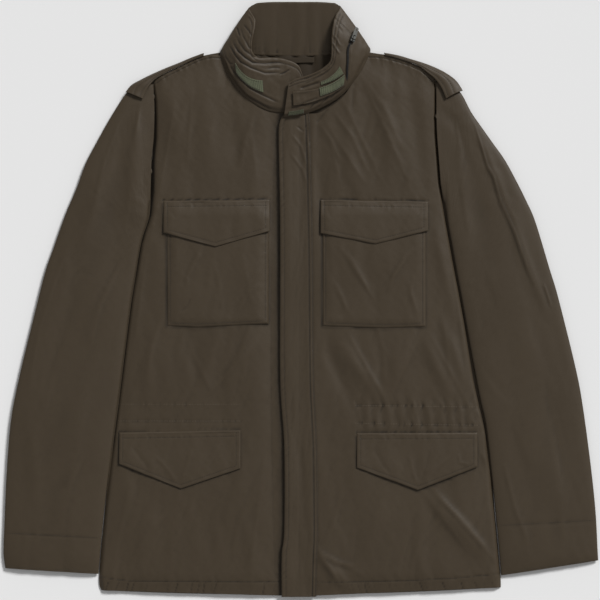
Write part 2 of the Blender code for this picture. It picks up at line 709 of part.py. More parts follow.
SLIDER_AT = ZipRow(18.4, 0.5)
SLIDER_LONG = 10.0
SLIDER_WIDE = 7.0
SLIDER_TALL = 3.0
BRIDGE_WIDE = 1.6
BRIDGE_REACH = 3.0  # half the bridge's length, outside
BRIDGE_BAR = 1.0
AXIS_RISE = 1.2  # from the slider's top to the pull's axis
PULL_LONG = 16.0
PULL_WIDE = 5.6
PULL_WALL = 1.0
PULL_EYE = 0.8  # from the axis to the eye's near edge
PULL_EYE_LONG = 3.4
PULL_EYE_WIDE = 3.0


def flat_piece(name, loops, half, material, folder):
    """A plate cut to flat outlines: the first loop is its edge and the rest are holes."""
    curve = bpy.data.curves.new(name, "CURVE")
    curve.dimensions = "2D"
    curve.fill_mode = "BOTH"
    curve.extrude = half * MM
    for loop in loops:
        spline = curve.splines.new("POLY")
        spline.points.add(len(loop) - 1)
        for point, (x, y) in zip(spline.points, loop):
            point.co = (x * MM, y * MM, 0.0, 1.0)
        spline.use_cyclic_u = True
    thing = bpy.data.objects.new(name, curve)
    curve.materials.append(material)
    folder.objects.link(thing)
    return thing


def side_prism(name, outline, wide, material, folder):
    """A solid with its outline in XZ, of equal width to both sides of it."""
    work = bmesh.new()
    corners = [work.verts.new(Vector((x, -wide / 2, z)) * MM) for x, z in outline]
    grown = bmesh.ops.extrude_face_region(work, geom=[work.faces.new(corners)])
    moved = [part for part in grown["geom"] if isinstance(part, bmesh.types.BMVert)]
    bmesh.ops.translate(work, verts=moved, vec=(0.0, wide * MM, 0.0))
    bmesh.ops.recalc_face_normals(work, faces=work.faces)
    mesh = bpy.data.meshes.new(name)
    work.to_mesh(mesh)
    work.free()
    return link(name, mesh, material, folder)


def rectangle(x1, y1, x2, y2):
    return [(x1, y1), (x2, y1), (x2, y2), (x1, y2)]


def make_slider(metal, folder):
    """The hood zip's slider, and its pull tab, which turns under the slider's bridge."""
    here, along, out = collar_frame(*SLIDER_AT)
    front = -along
    turn = Matrix((front, out.cross(front), out)).transposed().to_4x4()
    seat = COLLAR_WALL / 2 + PAD_LIFT + PAD_WALL + SEAM
    frame = Matrix.Translation((here + out * (seat + SLIDER_TALL / 2)) * MM) @ turn
    slider = box_piece("zip_slider", (SLIDER_LONG, SLIDER_WIDE, SLIDER_TALL), 0.8, metal, folder)
    slider.matrix_world = frame

    top = SLIDER_TALL / 2
    foot = top - 0.5
    crown = top + 2 * AXIS_RISE
    inside = BRIDGE_REACH - BRIDGE_BAR
    arch = [(-BRIDGE_REACH, foot), (-inside, foot), (-inside, crown), (inside, crown), (inside, foot)]
    arch += [(BRIDGE_REACH, foot), (BRIDGE_REACH, crown), (inside, crown + BRIDGE_BAR)]
    arch += [(-inside, crown + BRIDGE_BAR), (-BRIDGE_REACH, crown)]
    bridge = side_prism("bridge", arch, BRIDGE_WIDE, metal, folder)
    bridge.matrix_world = frame
    bridge.hide_render = True
    bridge.display_type = "WIRE"
    join = slider.modifiers.new("Bridge", "BOOLEAN")
    join.operation = "UNION"
    join.object = bridge

    eye = rectangle(PULL_EYE, -PULL_EYE_WIDE / 2, PULL_EYE + PULL_EYE_LONG, PULL_EYE_WIDE / 2)
    half, end = PULL_WIDE / 2, PULL_LONG
    edge = [(-PULL_EYE, -half), (end - 1.4, -half), (end, 1.4 - half), (end, half - 1.4)]
    edge += [(end - 1.4, half), (-PULL_EYE, half)]
    hole = [(12.0 + 1.2 * math.cos(k * math.pi / 4), 1.2 * math.sin(k * math.pi / 4)) for k in range(8)]
    pull = flat_piece("zip_pull", [edge, eye, hole], PULL_WALL / 2, metal, folder)
    axis = bpy.data.objects.new("zip_pull_axis", None)
    folder.objects.link(axis)
    axis.matrix_world = frame @ Matrix.Translation((0.0, 0.0, (top + AXIS_RISE) * MM))
    pull.parent = axis


def main():
    clear_scene()
    folder = collection_for("windbreaker")
    cloth = finish_of("shell_cloth", CLOTH, 0.62)
    lining = finish_of("lining_cloth", LINING, 0.7)
    green = finish_of("fastener_green", FASTENER_GREEN, 0.9)
    metal = finish_of("zip_metal", METAL, 0.35, 1.0)
    tape = finish_of("zip_tape", ZIP_TAPE, 0.5)

    make_back(cloth, folder)
    make_front("front_right", FRONT_RIGHT, False, cloth, folder)
    make_front("front_left", FRONT_LEFT, True, cloth, folder)
    make_placket(cloth, folder)
    make_sleeve("sleeve_right", SLEEVE_RIGHT, FRONT_RIGHT, False, FOLDS_SLEEVE_RIGHT, cloth, folder)
    make_sleeve("sleeve_left", SLEEVE_LEFT, FRONT_LEFT, True, FOLDS_SLEEVE_LEFT, cloth, folder)
    make_collar(cloth, folder)
    make_neck(cloth, lining, folder)
    make_epaulette("epaulette_right", EPAULETTE_RIGHT, cloth, folder)
    make_epaulette("epaulette_left", EPAULETTE_LEFT, cloth, folder)
    sides = (
        ("right", CHEST_POCKET_RIGHT, CHEST_FLAP_RIGHT, HIP_FLAP_RIGHT, False),
        ("left", CHEST_POCKET_LEFT, CHEST_FLAP_LEFT, HIP_FLAP_LEFT, True),
    )
    for side, pocket, chest, hip, wearers_left in sides:
        make_chest_pocket("chest_pocket_" + side, pocket, wearers_left, cloth, folder)

        def panel(x, y, left=wearers_left):
            return front_top(x, y, left)

        def over_pocket(x, y, patch=pocket, left=wearers_left):
            covered = patch.left_x - 4 < x < patch.right_x + 4 and y < patch.left_y + 4
            return pocket_top(x, y, patch, left) if covered else front_top(x, y, left)

        make_flap("chest_flap_" + side, chest, over_pocket, CHEST_FLAP_LIFT, cloth, folder)
        make_flap("hip_flap_" + side, hip, panel, HIP_FLAP_LIFT, cloth, folder)
    make_tab(cloth, green, folder)
    make_hood_zip(tape, folder)
    make_slider(metal, folder)


main()
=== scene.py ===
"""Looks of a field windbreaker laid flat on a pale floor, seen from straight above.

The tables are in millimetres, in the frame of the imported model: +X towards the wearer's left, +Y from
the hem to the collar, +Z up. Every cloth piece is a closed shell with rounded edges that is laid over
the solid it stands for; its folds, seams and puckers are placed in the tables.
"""

import logging
import math
from collections.abc import Callable, Iterable
from dataclasses import dataclass, field
from enum import Enum
from functools import partial
from typing import NamedTuple

import bpy
import numpy as np
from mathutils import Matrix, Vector


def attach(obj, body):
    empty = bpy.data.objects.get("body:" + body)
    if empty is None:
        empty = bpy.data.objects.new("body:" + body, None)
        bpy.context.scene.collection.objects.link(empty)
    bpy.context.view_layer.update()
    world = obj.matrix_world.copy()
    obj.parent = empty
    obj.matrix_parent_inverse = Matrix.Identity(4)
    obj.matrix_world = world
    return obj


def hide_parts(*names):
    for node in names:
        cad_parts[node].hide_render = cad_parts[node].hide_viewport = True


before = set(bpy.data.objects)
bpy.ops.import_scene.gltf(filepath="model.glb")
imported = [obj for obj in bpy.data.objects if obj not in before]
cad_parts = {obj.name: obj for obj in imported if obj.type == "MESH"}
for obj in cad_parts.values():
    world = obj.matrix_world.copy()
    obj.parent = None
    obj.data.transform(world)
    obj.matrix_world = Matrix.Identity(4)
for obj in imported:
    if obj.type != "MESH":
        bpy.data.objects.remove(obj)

LOG = logging.getLogger("windbreaker")
MM = 0.001
Array = np.ndarray
# A height or a shade at X and Y, and a point of a face at its places across and along
Map = Callable[[Array, Array], Array]
Face = Callable[[Array, Array], Array]


class Side(Enum):
    """The wearer's sides; the value is the sign of X."""

    RIGHT = -1
    LEFT = 1

    @property
    def word(self) -> str:
        """The side as the nodes' names have it."""
        return self.name.lower()


class Held(Enum):
    """How a sheet of the jacket is held."""

    LAID = "laid"
    FOLDED = "folded"
    GATHERED = "gathered"


class Section(NamedTuple):
    """The two ends of a row across a panel; left is towards -X, as in the picture."""

    left_x: float
    left_y: float
    right_x: float
    right_y: float


class Ring(NamedTuple):
    """A ring round a sleeve: its outer and inner edge, and its share of the full thickness."""

    outer_x: float
    outer_y: float
    inner_x: float
    inner_y: float
    rise: float


class Band(NamedTuple):
    """A rule of the collar from its neck seam to its top edge, and how far it bellies out."""

    base_x: float
    base_y: float
    base_z: float
    top_x: float
    top_y: float
    top_z: float
    belly: float


class Strip(NamedTuple):
    """A rule across a shoulder strap: its front edge, its crest and the edge rolled under."""

    edge_x: float
    edge_y: float
    edge_z: float
    crest_x: float
    crest_y: float
    crest_z: float
    out_x: float
    out_y: float
    out_z: float


class Patch(NamedTuple):
    """A pocket or flap: its top edge, and how far its sides and its tip hang below that edge."""

    left_x: float
    left_y: float
    right_x: float
    right_y: float
    drop_left: float
    tip_x: float
    tip: float
    drop_right: float

    @property
    def wide(self) -> float:
        """Its width."""
        return self.right_x - self.left_x

    def across(self, x: Array) -> Array:
        """How far across it points are, from 0 to 1 inside it."""
        return (x - self.left_x) / self.wide

    def top_y(self, u: Array) -> Array:
        """The Y of its top edge at places across."""
        return between(self.left_y, self.right_y, u)


class Pad(NamedTuple):
    """A piece that lies on the collar: its corners, as station and share of the way up, and its size."""

    name: str
    low_left: tuple[float, float]
    low_right: tuple[float, float]
    high_right: tuple[float, float]
    high_left: tuple[float, float]
    wide: float
    long: float


class Fold(NamedTuple):
    """A soft ridge along a line, or a trough where the height is negative."""

    x1: float
    y1: float
    x2: float
    y2: float
    width: float
    height: float


class Seam(NamedTuple):
    """A line of stitching: its points, and the puckers beside it."""

    points: tuple[tuple[float, float], ...]
    pucker: float
    wave: float
    reach: float
    depth: float = 0.5


class Wrinkle(NamedTuple):
    """A sharp wrinkle along a bent line: a ridge, or a trough where the height is negative."""

    points: tuple[tuple[float, float], ...]
    width: float
    height: float


# Driving sizes of the solids, mm
BACK_WALL = 2.5
FRONT_WALL = 2.2
COLLAR_WALL = 2.6
TRIM_WALL = 1.6
PAD_WALL = 1.0
SEAM_GAP = 0.3
CROWN = 3.4
PLACKET_LIFT = 3.0
SLEEVE_RISE = 10.5
HEM_Y = -413.0
FRONT_REST = BACK_WALL + SEAM_GAP + FRONT_WALL
SIDE_REACH = 16.0
HEM_HOLD, HEM_REACH = 0.35, 34.0
SHOULDER_HOLD, SHOULDER_REACH = 0.3, 40.0
CENTRE_REACH = 23.0
PLACKET_HALF = 8.0

FRONT_ROWS = {
    Side.RIGHT: [
        Section(-278, -406, -0.3, -414),
        Section(-281, -385, -0.3, -385),
        Section(-273, -294, -0.3, -294),
        Section(-260, -188, -0.3, -188),
        Section(-248, -94, -0.3, -94),
        Section(-236, 0, -0.3, 0),
        Section(-223, 77, -0.3, 80),
        Section(-211, 119, -0.3, 150),
        Section(-209, 165, -0.3, 215),
        Section(-208, 196, -4, 261),
        Section(-205, 226, -44, 264),
        Section(-204, 252, -64, 275),
        Section(-204, 276, -84, 293),
        Section(-206, 296, -97, 314),
        Section(-207, 306, -106, 338.6),
    ],
    Side.LEFT: [
        Section(0, -414, 281, -402),
        Section(0, -385, 280, -380),
        Section(0, -294, 272, -294),
        Section(0, -188, 261, -188),
        Section(0, -110, 244, -110),
        Section(0, -30, 231, -30),
        Section(0, 55, 215, 55),
        Section(0, 130, 203, 122),
        Section(0, 195, 197, 164),
        Section(0, 254, 194, 203),
        Section(29, 262, 191.5, 234),
        Section(57, 281, 191, 262),
        Section(78, 311, 191, 282),
        Section(86, 330, 191, 298),
        Section(92, 345, 191, 309),
    ],
}
# Shoulder edges, which bow up under the straps: places in X and Y
SHOULDERS = {
    Side.RIGHT: (
        (-207, -200.8, -192.8, -178.8, -164.8, -150.8, -137, -124.7, -113, -106),
        (306, 309.6, 314.6, 321.2, 328.2, 335.2, 341.4, 344, 343.4, 340.6),
    ),
    Side.LEFT: (
        (92, 106.8, 117, 136.8, 152.7, 166.7, 175.5, 184.8, 191),
        (345, 344.5, 343.2, 338.1, 333, 326.8, 320, 312.4, 309),
    ),
}
# The back's top edge, over both shoulders and behind the neck
BACK_TOP = (
    (
        *(-207, -192.8, -178.8, -150.8, -137, -124.7, -107, -98, -56),
        *(35, 84, 94, 117, 136.8, 152.7, 166.7, 175.5, 191),
    ),
    (
        *(306, 314.6, 321.2, 335.2, 341.4, 344, 347, 347.5, 348),
        *(348.5, 349, 347, 343.2, 338.1, 333, 326.8, 320, 309),
    ),
)
BOW_FROM = 0.8
# The back follows the fronts' outer edges, and is wider than they are beside the sleeves
BACK_WIDER = 3.0
BACK_WIDER_ROWS = range(3, len(FRONT_ROWS[Side.RIGHT]) - 1)
BACK_ROWS = [
    Section(right.left_x - wider, right.left_y, left.right_x + wider, left.right_y)
    for right, left, wider in (
        (*pair, BACK_WIDER if number in BACK_WIDER_ROWS else 0.0)
        for number, pair in enumerate(zip(FRONT_ROWS[Side.RIGHT], FRONT_ROWS[Side.LEFT]))
    )
]
SLEEVE_RINGS = {
    Side.RIGHT: [
        Ring(-208.2, 301.4, -211.5, 140, 0.85),
        Ring(-225, 300.6, -212, 132, 0.9),
        Ring(-242, 290, -212.5, 123, 0.95),
        Ring(-263, 258, -213.7, 113, 1),
        Ring(-280, 228, -216.3, 104, 1),
        Ring(-299, 192, -219.4, 93, 1),
        Ring(-312, 157, -223.4, 79, 1),
        Ring(-328, 119, -226.7, 61, 1),
        Ring(-345, 71, -232.3, 28, 1),
        Ring(-357, 36, -236.7, 2, 1),
        Ring(-376, -40, -244.1, -56, 1),
        Ring(-392, -106, -252.7, -123, 1),
        Ring(-404, -168, -260.2, -182, 1),
        Ring(-410, -241, -268.8, -252, 0.95),
        Ring(-413, -308, -275.9, -316, 0.9),
        Ring(-414.5, -353, -279.8, -360, 0.85),
        Ring(-412, -375, -281.8, -383, 0.7),
    ],
    Side.LEFT: [
        Ring(193, 304.5, 201, 143, 0.85),
        Ring(209, 303.5, 202.6, 133, 0.9),
        Ring(225, 289, 204.5, 121, 0.95),
        Ring(239, 263, 206.3, 109, 1),
        Ring(252, 244, 209, 94, 1),
        Ring(269, 220, 212.1, 77, 1),
        Ring(286, 196, 215.5, 58, 1),
        Ring(302, 167, 219, 39, 1),
        Ring(316, 139, 223, 18, 1),
        Ring(329, 109, 227.1, -4, 1),
        Ring(349, 43, 235.1, -49, 1),
        Ring(361, 3, 240.9, -81, 1),
        Ring(385, -94, 251.5, -137, 1),
        Ring(395, -147, 259.8, -175, 1),
        Ring(406, -228, 266.8, -234, 0.95),
        Ring(413, -294, 273.7, -301, 0.9),
        Ring(416, -349, 279.1, -360, 0.85),
        Ring(417, -364, 281.2, -385, 0.7),
    ],
}
ARMHOLE_GAP = -0.5
ARMHOLE_REACH = 0.07

# The folds of the solids
LARGE_FOLDS = {
    Side.RIGHT: [
        Fold(-214, 96, -196, 190, 9, 2.6),
        Fold(-236, -10, -206, 130, 8, 2.2),
        Fold(-180, 292, -168, 205, 16, 1.8),
        Fold(-130, 305, -128, 190, 13, 1.6),
        Fold(-88, 262, -92, 180, 12, -1.6),
        Fold(-60, -46, -108, -140, 9, 2.0),
        Fold(-112, -30, -140, -130, 10, 1.6),
        Fold(-206, -46, -214, -140, 10, 1.8),
        Fold(-70, -214, -112, -330, 13, 1.6),
        Fold(-200, -280, -222, -370, 12, 1.4),
        Fold(-34, 240, -31, -400, 13, -1.6),
    ],
    Side.LEFT: [
        Fold(104, 334, 136, 170, 12, 2.2),
        Fold(76, 292, 66, 160, 13, 1.8),
        Fold(150, 322, 172, 160, 12, -1.8),
        Fold(24, 250, 40, 40, 10, -1.4),
        Fold(54, -56, 112, -138, 11, 2.2),
        Fold(158, -48, 118, -136, 11, 2.0),
        Fold(172, -52, 214, -140, 10, 1.8),
        Fold(36, -60, 74, -150, 9, -1.6),
        Fold(206, -40, 236, -126, 9, 1.8),
        Fold(178, -268, 262, -362, 11, 2.4),
        Fold(120, -276, 84, -366, 14, 1.6),
        Fold(24, -352, 74, -408, 9, 1.8),
        Fold(192, 100, 222, -30, 9, 2.0),
    ],
}
SLEEVE_FOLDS = {
    Side.RIGHT: [
        Fold(-222, 270, -238, 120, 12, 1.8),
        Fold(-262, 214, -318, 40, 14, 1.8),
        Fold(-300, 60, -352, -120, 13, -1.5),
        Fold(-286, -90, -340, -240, 14, 1.5),
        Fold(-380, -150, -362, -300, 13, 1.3),
    ],
    Side.LEFT: [
        Fold(240, 258, 286, 140, 6, 1.4),
        Fold(286, 140, 345, -20, 6, 1.4),
        Fold(218, 246, 262, 60, 13, -1.4),
        Fold(286, 60, 330, -110, 14, 1.4),
        Fold(312, -150, 372, -300, 14, 1.6),
    ],
}
GATHER_TOP_Y, GATHER_FOOT_Y = -146.0, -176.0
GATHER_FROM_X, GATHER_TO_X = 78.0, 250.0
GATHERS, GATHER_HEIGHT = 11, 0.42

CHEST_FLAP = {
    Side.RIGHT: Patch(-191, 138.5, -42, 140, 45, 0.49, 65, 44),
    Side.LEFT: Patch(28.5, 140, 179, 137.5, 47, 0.51, 61, 41),
}
HIP_FLAP = {
    Side.RIGHT: Patch(-253, -185, -83, -182, 44, 0.51, 80, 53),
    Side.LEFT: Patch(79, -186, 248, -185, 48, 0.505, 80, 48),
}
CHEST_POCKET = {
    Side.RIGHT: Patch(-186, 118, -43.5, 118, 155, 0.3, 157, 152),
    Side.LEFT: Patch(31, 118, 176, 118, 155, 0.6, 158, 156),
}
PLACKET_ROWS = [
    Section(-25, 257, 12.5, 261),
    Section(-29.5, 243, 14, 244),
    Section(-30, 218, 14.7, 218),
    Section(-28.5, 140, 16.8, 140),
    Section(-28, 56, 18.2, 56),
    Section(-28, -112, 19.6, -112),
    Section(-22.5, -204, 23.8, -204),
    Section(-22.5, -320, 25.2, -320),
    Section(-26, -356, 24, -356),
    Section(-26, -414.5, 22.5, -414.5),
]
COLLAR_BANDS = [
    Band(1, 260, 8.2, 4, 313, 10.6, 0.3),
    Band(-14, 261, 8.0, -3, 328, 11.2, 0.6),
    Band(-34, 262, 8.3, -22, 336, 12.6, 1.2),
    Band(-54, 267.5, 9.5, -42, 337.5, 15, 2.5),
    Band(-75, 281.5, 10.2, -58, 337.5, 18.5, 3.5),
    Band(-89, 296.5, 10.2, -66, 345, 21.5, 4),
    Band(-99, 312, 9.7, -66.5, 358, 23, 4),
    Band(-105.5, 325.5, 8.8, -63.5, 374, 22.5, 4),
    Band(-109.8, 336, 8.2, -62.5, 389, 18.5, 3.5),
    Band(-112, 344.5, 6.4, -70, 406, 12, 1.5),
    Band(-106, 347, 5.0, -64.5, 412, 12, 0.3),
    Band(-90, 344.5, 4.6, -56, 414.5, 12.5, 0),
    Band(-56, 341.5, 4.6, -35, 415.5, 13, 0),
    Band(-8, 340.5, 4.6, -4, 415.5, 13.5, 0),
    Band(35, 341.5, 4.6, 25, 415.5, 13, 0),
    Band(73, 346, 4.6, 43, 414.5, 12.5, 0),
    Band(92, 351, 5.0, 50, 413.5, 12, 0.3),
    Band(98, 349, 6.4, 55, 408, 12, 1.5),
    Band(96, 341, 8.4, 49, 395, 18.5, 3.5),
    Band(91.5, 331, 9.0, 45, 378, 23, 4),
    Band(86, 320.5, 9.8, 43.5, 361, 23.5, 4),
    Band(79, 309.5, 10.4, 43.5, 343, 23, 4),
    Band(68, 295.5, 10.6, 41, 331, 21.5, 3.5),
    Band(51, 280, 10.5, 30, 321, 20, 2.5),
    Band(25, 266, 11.6, 11, 313, 18.5, 2),
    Band(0, 257.2, 13.6, -6, 308, 17.8, 1.5),
    Band(-23, 254, 14.4, -16, 302.5, 17.4, 0.8),
]
EPAULETTE_STRIPS = {
    Side.RIGHT: [
        Strip(-134.5, 341.2, 9.0, -134.8, 343.6, 8.8, -134.5, 345.2, 6.6),
        Strip(-150.8, 334.5, 8.9, -151.5, 337.2, 9.3, -151.8, 339.2, 4.6),
        Strip(-167, 326.5, 8.7, -168.2, 329.6, 9.6, -169.2, 332, 3.6),
        Strip(-185, 317.8, 8.8, -187, 321.6, 10.2, -188.5, 324.4, 3.2),
        Strip(-201, 308.8, 10.2, -205.5, 313.5, 11.8, -208.5, 315.5, 3.6),
        Strip(-209.5, 299.5, 11.6, -217, 307, 13.4, -222, 308.5, 5.5),
        Strip(-215.5, 289.5, 12.2, -229, 298.6, 14.6, -235.8, 300.6, 6.5),
        Strip(-219, 280.5, 12.6, -233, 286.5, 15.2, -243.5, 290.8, 9.6),
    ],
    Side.LEFT: [
        Strip(118.5, 342.2, 8.9, 118.3, 344, 8.7, 117.5, 345.6, 6.8),
        Strip(136.8, 337.4, 8.8, 137.4, 340, 9.2, 137.4, 342.2, 4.6),
        Strip(153, 332.2, 8.7, 154.5, 335, 9.6, 154.8, 337.2, 3.6),
        Strip(167.5, 325.6, 9.0, 171, 329.4, 10.2, 173, 331.6, 3.4),
        Strip(178, 317, 9.8, 185.5, 323.2, 11.6, 190, 325, 3.6),
        Strip(188, 308.4, 10.8, 199.5, 316.4, 13.0, 205.5, 316.6, 5.5),
        Strip(197, 295.8, 11.9, 210.5, 305, 14.2, 219, 306, 7.0),
        Strip(203.4, 280.6, 12.4, 215.5, 288.5, 15.2, 227.5, 292.5, 9.4),
    ],
}


# ---------------------------------------------------------------- numbers on curves

NOISE_CELLS = 64
FURROW_WIDE = 1.0
PUCKER_LEAN = 0.35
PUCKER_SEED = 40
WRINKLE_END = 0.22
WRINKLE_SHOULDER = 0.2


def eased(t: Array | float) -> Array:
    """A smooth step from 0 to 1 as t goes from 0 to 1."""
    t = np.clip(t, 0.0, 1.0)
    return t * t * (3.0 - 2.0 * t)


def hump(away: Array, wide: float) -> Array:
    """A smooth hump: 1 where away is 0, and nearly gone at twice its width."""
    return np.exp(-((away / wide) ** 2))


def between(start: Array | float, end: Array | float, share: Array | float) -> Array | float:
    """What stands a share of the way from a start to an end."""
    return start + (end - start) * share


def read_table(rows: list, at: Array) -> list[Array]:
    """All columns of a table at places between its rows, on a smooth curve through them.

    Args:
        rows: The table, one named tuple a row.
        at: Places, counted in rows from 0.

    Returns:
        One array a column, each as long as at.
    """
    table = np.array(rows, float)
    last = len(rows) - 1
    step = np.clip(np.floor(at).astype(int), 0, last - 1)
    t = (at - step)[:, None]
    a, b, c, d = (table[np.clip(step + k, 0, last)] for k in (-1, 0, 1, 2))
    found = 0.5 * (
        2 * b + (c - a) * t + (2 * a - 5 * b + 4 * c - d) * t**2 + (3 * b - a - 3 * c + d) * t**3
    )
    return list(found.T)


def along_line(x: Array, y: Array, start: tuple, end: tuple) -> tuple[Array, Array]:
    """Where points stand beside a line.

    Args:
        x: Points' X.
        y: Points' Y.
        start: The line's start, X and Y.
        end: The line's end.

    Returns:
        The share of the way along the line, and the distance from it.
    """
    x1, y1 = start
    run_x, run_y = end[0] - x1, end[1] - y1
    share = np.clip(((x - x1) * run_x + (y - y1) * run_y) / (run_x**2 + run_y**2), 0.0, 1.0)
    return share, np.hypot(x - x1 - run_x * share, y - y1 - run_y * share)


def fold_height(x: Array, y: Array, folds: Iterable[Fold]) -> Array:
    """The height of all folds at points, as the solids have it.

    Args:
        x: Points' X.
        y: Points' Y.
        folds: The folds.

    Returns:
        The height.
    """
    total = np.zeros_like(x)
    for fold in folds:
        share, away = along_line(x, y, fold[:2], fold[2:4])
        fade = 0.25 + 0.75 * np.sin(np.pi * share)
        total += fold.height * fade * hump(away, fold.width)
    return total


def crease_height(x: Array, y: Array, creases: Iterable[Fold]) -> Array:
    """The height of pressed creases: a sharper crest than a fold's, gone at both ends.

    Args:
        x: Points' X.
        y: Points' Y.
        creases: The creases.

    Returns:
        The height.
    """
    total = np.zeros_like(x)
    for crease in creases:
        share, away = along_line(x, y, crease[:2], crease[2:4])
        fade = np.sin(np.pi * np.clip(0.04 + 0.92 * share, 0, 1)) ** 0.7
        total += crease.height * fade / (1.0 + (away / crease.width) ** 2) ** 1.5
    return total


def beside(x: Array, y: Array, points: Iterable) -> tuple[Array, Array, float]:
    """Where points stand beside a bent line.

    Args:
        x: Points' X.
        y: Points' Y.
        points: The line's corners.

    Returns:
        How far along the line they are, their distance from it, and its length.
    """
    run = 0.0
    nearest = np.full_like(x, 1e6)
    place = np.zeros_like(x)
    for start, end in zip(points, points[1:]):
        share, away = along_line(x, y, start, end)
        length = math.dist(start, end)
        nearer = away < nearest
        nearest = np.where(nearer, away, nearest)
        place = np.where(nearer, run + share * length, place)
        run += length
    return place, nearest, run


def noise(x: Array, y: Array, wide: float, long: float, seed: int) -> Array:
    """Smooth noise from -1 to 1 over cells of wide by long mm.

    Args:
        x: Points' X.
        y: Points' Y.
        wide: A cell's width.
        long: A cell's length.
        seed: Their seed.

    Returns:
        The noise.
    """
    table = np.random.default_rng(seed).uniform(-1.0, 1.0, (NOISE_CELLS, NOISE_CELLS))
    i, j = np.floor(x / wide), np.floor(y / long)
    s, t = eased(x / wide - i), eased(y / long - j)
    i, j = i.astype(int) % NOISE_CELLS, j.astype(int) % NOISE_CELLS
    i2, j2 = (i + 1) % NOISE_CELLS, (j + 1) % NOISE_CELLS
    low = between(table[i, j], table[i2, j], s)
    high = between(table[i, j2], table[i2, j2], s)
    return between(low, high, t)


def cloth_waves(x: Array, y: Array, seed: int) -> Array:
    """The slow swell and the faint drag lines of cloth that was laid out by hand.

    Args:
        x: Points' X.
        y: Points' Y.
        seed: Their seed.

    Returns:
        The height.
    """
    bend = 9.0 * noise(x, y, 60.0, 60.0, seed + 4)
    swell = 0.8 * noise(x, y, 48.0, 75.0, seed)
    drag = 0.5 * noise(x + bend + 0.15 * y, y, 15.0, 80.0, seed + 1)
    fine = 0.22 * noise(x + bend - 0.3 * y, y, 8.0, 34.0, seed + 2)
    return swell + drag + fine + 0.08 * noise(x + 0.6 * y, y, 5.5, 9.0, seed + 3)


def seam_height(x: Array, y: Array, seams: Iterable[Seam]) -> Array:
    """The furrow that each line of stitching pulls, and the puckers that run out from it.

    Args:
        x: Points' X.
        y: Points' Y.
        seams: The lines.

    Returns:
        The height.
    """
    total = np.zeros_like(x)
    for number, seam in enumerate(seams):
        place, nearest, _ = beside(x, y, seam.points)
        total -= seam.depth * hump(nearest, FURROW_WIDE)
        if seam.pucker:
            leaning = place + PUCKER_LEAN * nearest
            ripple = noise(leaning, nearest, seam.wave / 2, 2 * seam.reach, PUCKER_SEED + number)
            total += seam.pucker * ripple * np.exp(-nearest / seam.reach)
    return total


def wrinkle_height(x: Array, y: Array, wrinkles: Iterable[Wrinkle]) -> Array:
    """The height of wrinkles: each has a soft shoulder on both sides and is gone at both ends.

    Args:
        x: Points' X.
        y: Points' Y.
        wrinkles: The wrinkles.

    Returns:
        The height.
    """
    total = np.zeros_like(x)
    for wrinkle in wrinkles:
        place, away, length = beside(x, y, wrinkle.points)
        ends = WRINKLE_END * length
        fade = eased(place / ends) * eased((length - place) / ends)
        shoulder = hump(away - 2.3 * wrinkle.width, 1.4 * wrinkle.width)
        total += wrinkle.height * fade * (hump(away, wrinkle.width) - WRINKLE_SHOULDER * shoulder)
    return total


# ---------------------------------------------------------------- surfaces of the panels


def edge_x(rows: list[Section], side: Side, y: Array) -> Array:
    """Where a panel's edge on one of the wearer's sides stands, read straight between its rows.

    Args:
        rows: The panel's rows.
        side: The side.
        y: Points' Y.

    Returns:
        The edge's X.
    """
    if side is Side.LEFT:
        ends = [(row.right_x, row.right_y) for row in rows]
    else:
        ends = [(row.left_x, row.left_y) for row in rows]
    xs, ys = np.array(ends, float).T
    way = np.sign(ys[-1] - ys[0])
    return np.interp(way * y, way * ys, xs)


def inward_of(side: Side, x: Array, y: Array) -> Array:
    """How far in from a front's outer edge points are; below 0 outside it."""
    return (edge_x(FRONT_ROWS[side], side, y) - x) * side.value


def solid_top(side: Side, x: Array, y: Array) -> Array:
    """Height of the outer face of a front's solid.

    Args:
        side: The front's side.
        x: Points' X.
        y: Points' Y.

    Returns:
        The height.
    """
    rows = FRONT_ROWS[side]
    inward = np.maximum(0.0, inward_of(side, x, y))
    from_centre = np.abs(x)
    last = rows[-1]
    run = np.array([last.right_x - last.left_x, last.right_y - last.left_y], float)
    run /= np.linalg.norm(run)
    below = np.maximum(0.0, (x - last.left_x) * run[1] - (y - last.left_y) * run[0])
    free = 1.0 - np.exp(-inward / SIDE_REACH)
    free *= HEM_HOLD + (1.0 - HEM_HOLD) * eased((y - HEM_Y) / HEM_REACH)
    free *= SHOULDER_HOLD + (1.0 - SHOULDER_HOLD) * eased(below / SHOULDER_REACH)
    moved = fold_height(x, y, LARGE_FOLDS[side])
    if side is Side.LEFT:
        free *= HEM_HOLD + (1.0 - HEM_HOLD) * eased(from_centre / CENTRE_REACH)
        moved += gathers(x, y)
    else:
        free *= eased((from_centre - CENTRE_REACH) / (2 * CENTRE_REACH))
    moved *= eased(inward / CENTRE_REACH) * eased((from_centre - PLACKET_HALF) / CENTRE_REACH)
    return FRONT_REST + np.maximum(0.0, CROWN * free + moved)


def gathers(x: Array, y: Array) -> Array:
    """Ripples of the cloth drawn up by the waist cord.

    Args:
        x: Points' X.
        y: Points' Y.

    Returns:
        The height.
    """
    across = (x - GATHER_FROM_X) / (GATHER_TO_X - GATHER_FROM_X)
    inside = (across > 0.0) & (across < 1.0)
    across = np.clip(across, 0.0, 1.0)
    middle = (GATHER_TOP_Y + GATHER_FOOT_Y) / 2
    reach = (GATHER_TOP_Y - GATHER_FOOT_Y) / 2
    fade = np.exp(-(((y - middle) / (reach * 1.6)) ** 4)) * np.sqrt(np.sin(np.pi * across))
    ripple = np.sin(2 * np.pi * GATHERS * across + 2.2 * np.sin(7.0 * across) + 0.05 * (y - middle))
    return np.where(inside, GATHER_HEIGHT * fade * ripple, 0.0)


